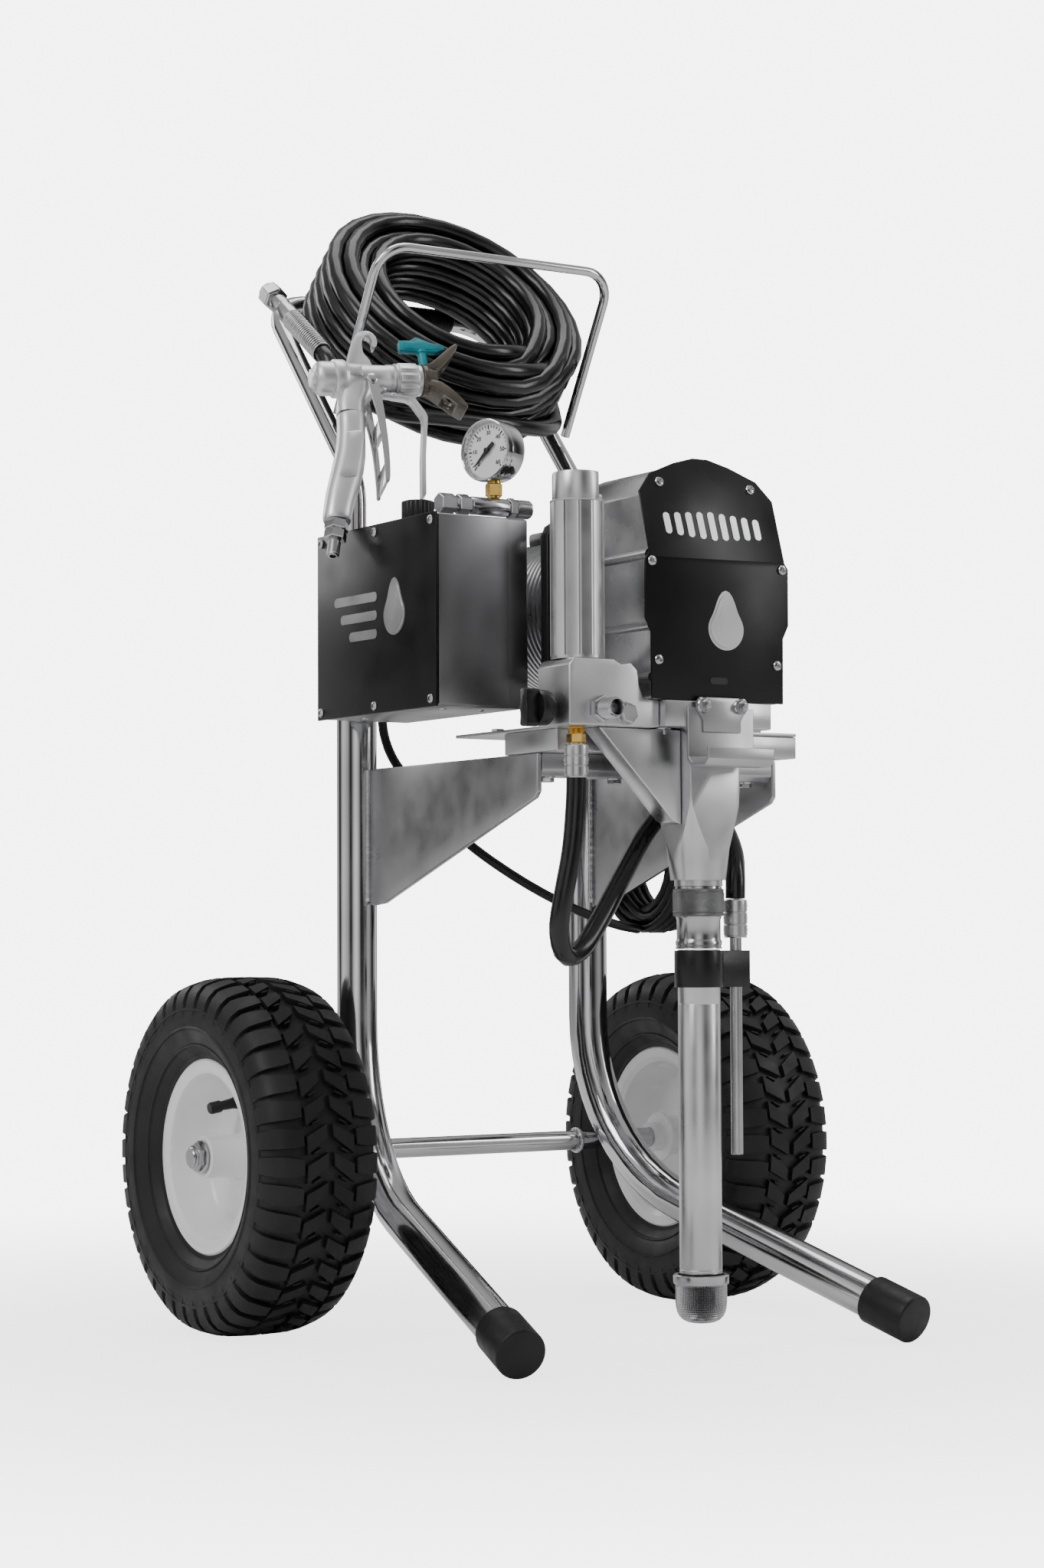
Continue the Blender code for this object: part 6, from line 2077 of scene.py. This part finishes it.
    def pins(self) -> Piece:
        """The trigger's pivot screws."""
        screws = []
        for way in (-1, 1):
            screws.append(turned("screw", [(0.0048, 0.0), (0.0052, 0.0006), (0.005, 0.0016),
                                           (0.0036, 0.0024)], self.spot(*self.pivot, way * 0.0181),
                                 Vector(self.across) * way, 32))
        return joined("gun_pivot_screws", screws)

    def trigger(self) -> Piece:
        """The fork's two prongs, joined by a bridge and a curled foot."""
        f, u = self.pivot
        side = [(-0.0036, 0.003), (0.0, 0.0056), (0.0048, 0.003), (0.0062, -0.01), (0.0072, -0.03),
                (0.007, -0.05), (0.0062, -0.072), (0.0046, -0.092), (0.0022, -0.109),
                (-0.0006, -0.1125), (-0.0022, -0.1105), (-0.0012, -0.098), (-0.0002, -0.08),
                (0.0002, -0.06), (-0.0006, -0.04), (-0.0022, -0.025), (-0.0036, -0.01)]
        prongs = [self.flat("prong", [(f + x, u + z) for x, z in side], 0.0026, way * 0.017, 0.0007,
                            True) for way in (-1, 1)]
        bridge = [(0.0034, -0.038), (0.0068, -0.037), (0.0068, -0.056), (0.003, -0.058)]
        foot = [(0.005, -0.086), (0.0026, -0.108), (-0.0004, -0.112), (-0.0014, -0.11),
                (0.0024, -0.086)]
        bars = [self.flat("bar", [(f + x, u + z) for x, z in shape], 0.033, 0.0,
                          0.0006) for shape in (bridge, foot)]
        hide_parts("gun_trigger")
        return joined("gun_trigger_skin", [*prongs, *bars])

    def strap(self) -> Piece:
        """The flat guard strap in front of the trigger."""
        corners = [(0.058, 0, -0.0158), (0.084, 0, -0.02), (0.0945, 0, -0.04), (0.086, 0, -0.085),
                   (0.08, 0, -0.127)]
        route = rounded_path(corners, [0.01, 0.014, 0.06], 14)
        strip = [(point.x, point.z) for point in route]
        inner = [(f - 0.005, u - 0.003) for f, u in strip]
        strap = self.flat("gun_strap", strip + inner[::-1], 0.0088, 0.0, 0.0004)
        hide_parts("gun_trigger_guard")
        boss = turned("boss", [(0.005, 0.0), (0.005, 0.002), (0.0036, 0.0026)],
                      self.spot(0.064, -0.0168), -Vector(self.up), 28)
        return joined("gun_strap", [strap, boss])

    def nozzle_nut(self) -> Piece:
        """The scalloped nut with a turned ring at each end."""
        outline = []
        for step in range(120):
            turn = 2 * pi * step / 120
            reach = 0.0165 - 0.002 * max(0.0, cos(turn * 8)) ** 1.5
            outline.append((reach * cos(turn), reach * sin(turn)))
        nut = plate("gun_nozzle_nut_skin", outline, 0.019, Vector(self.across), Vector(self.up),
                    self.spot(0.08, 0), 0.0012)
        ring = turned("ring", [(0.014, 0.0668), (0.0158, 0.0674), (0.0158, 0.069), (0.0148, 0.07),
                               (0.0148, 0.0716)], self.spot(0, 0), Vector(self.ahead), 56)
        face = turned("face", [(0.0152, 0.089), (0.0152, 0.0925), (0.014, 0.0942)], self.spot(0, 0),
                      Vector(self.ahead), 56)
        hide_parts("gun_nozzle_nut")
        return joined("gun_nozzle_nut_skin", [nut, ring, face])

    def guard(self) -> Piece:
        """The bronze guard: a round collar with two wings, each with an oval window."""
        ahead, across, up = Vector(self.ahead), Vector(self.across), Vector(self.up)
        wings = []
        for way in (-1, 1):
            wing = [(0.096, 0.0105), (0.104, 0.014), (0.111, 0.02), (0.118, 0.026), (0.125, 0.032),
                    (0.131, 0.036), (0.134, 0.0345), (0.131, 0.0285), (0.125, 0.0205),
                    (0.118, 0.013), (0.111, 0.0075), (0.101, 0.005)]
            piece = self.flat("wing", [(f, way * u) for f, u in wing], 0.025, 0.0, 0.0012)
            lie = (ahead * 0.775 + up * way * 0.632).normalized()
            oval = [(0.0078 * cos(2 * pi * step / 32),
                     0.0068 * sin(2 * pi * step / 32)) for step in range(32)]
            tool = plate("window", oval, 0.04, across, lie, self.spot(0.1195, way * 0.0215))
            wings.append(carve(piece, tool))
        collar = turned("collar", [(0.015, 0.0944), (0.0156, 0.095), (0.0156, 0.0985), (0.014, 0.1),
                                   (0.0125, 0.108), (0.006, 0.109)], self.spot(0, 0), ahead, 56)
        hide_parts("gun_tip_guard")
        guard = joined("gun_guard_skin", [collar, *wings])
        return guard

    def tip(self) -> Piece:
        """The reversible tip's stem under its arrow-shaped flag."""
        x = self.stem_at
        stem = turned("spray_tip_skin", [(0.0038, -0.011), (0.0044, -0.0104), (0.0044, 0.015),
                                         (0.0044, 0.03), (0.0056, 0.0306), (0.0056, 0.033)],
                      self.spot(x, 0), Vector(self.up), 32)
        arrow = [(x - 0.0205, 0.0325), (x - 0.006, 0.0318), (x + 0.012, 0.0318), (x + 0.02, 0.0338),
                 (x + 0.0205, 0.0382), (x + 0.009, 0.0402), (x + 0.002, 0.0432),
                 (x - 0.004, 0.0458), (x - 0.01, 0.0422), (x - 0.0205, 0.0418)]
        arrow = [((f - x) * 1.1 + x, (u - 0.038) * 1.15 + 0.0385) for f, u in arrow]
        flag = self.flat("flag", arrow, 0.0082, 0.0, 0.001)
        rib = self.flat("rib", [(f * 0.78 + x * 0.22, u * 0.72 + 0.0105) for f, u in arrow], 0.0096,
                        0.0, 0.0005)
        hole = turned("hole", [(0.0016, -0.02), (0.0016, 0.02)], self.spot(x - 0.0035, 0.042),
                      Vector(self.across), 20)
        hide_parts("gun_spray_tip")
        return joined("spray_tip_skin", [stem, carve(flag, hole), rib])

    def tip_pin(self) -> Piece:
        """The hard insert across the stem."""
        return turned("spray_tip_insert", [(0.0024, -0.0046), (0.0028, -0.0042), (0.0028, 0.0042),
                                           (0.0012, 0.0047)], self.spot(self.stem_at, 0.0),
                      Vector(self.ahead), 24)

    def swivel(self) -> Piece:
        """The two hexes and the threaded end under the handle."""
        way = (self.spot(-0.01, -0.156) - self.spot(-0.006, -0.14)).normalized()
        at = self.spot(-0.01, -0.156) + way * 0.0003
        first = turned("gun_swivel_skin", [(0.0102, 0.0), (0.0114, 0.0008), (0.0114, 0.0088),
                                           (0.0104, 0.0096)], at, way, 6)
        groove = turned("groove", [(0.0088, 0.0094), (0.0088, 0.0108)], at, way, 32)
        second = turned("second", [(0.0098, 0.0106), (0.0108, 0.0114), (0.0108, 0.0188),
                                   (0.0098, 0.0196)], at, way, 6)
        stub = turned("stub", [(0.0054, 0.019), (0.0054, 0.0215),
                               *thread(0.006, 0.0215, 0.014, 0.0012), (0.0052, 0.0362),
                               (0.0046, 0.037), (0.003, 0.037), (0.003, 0.03)], at, way, 32)
        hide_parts("gun_swivel")
        return joined("gun_swivel_skin", [soften(first, 20.0), groove, soften(second, 20.0), stub])


def main() -> None:
    """Build the studio, the cords and every sub-assembly, and report each."""
    logging.basicConfig(level=logging.INFO, format="%(message)s")
    Studio().build()
    for assembly in (PaintHose(), SupplyCord(), ReturnLine(), Cart(), Wheel("left", -1.0),
                     Wheel("right", 1.0), ControlBox(), Gauge(), Drive(), Pump(), Manifold(),
                     SprayGun()):
        LOG.info("building %s", type(assembly).__name__)
        assembly.build()


if __name__ == "__main__":
    main()
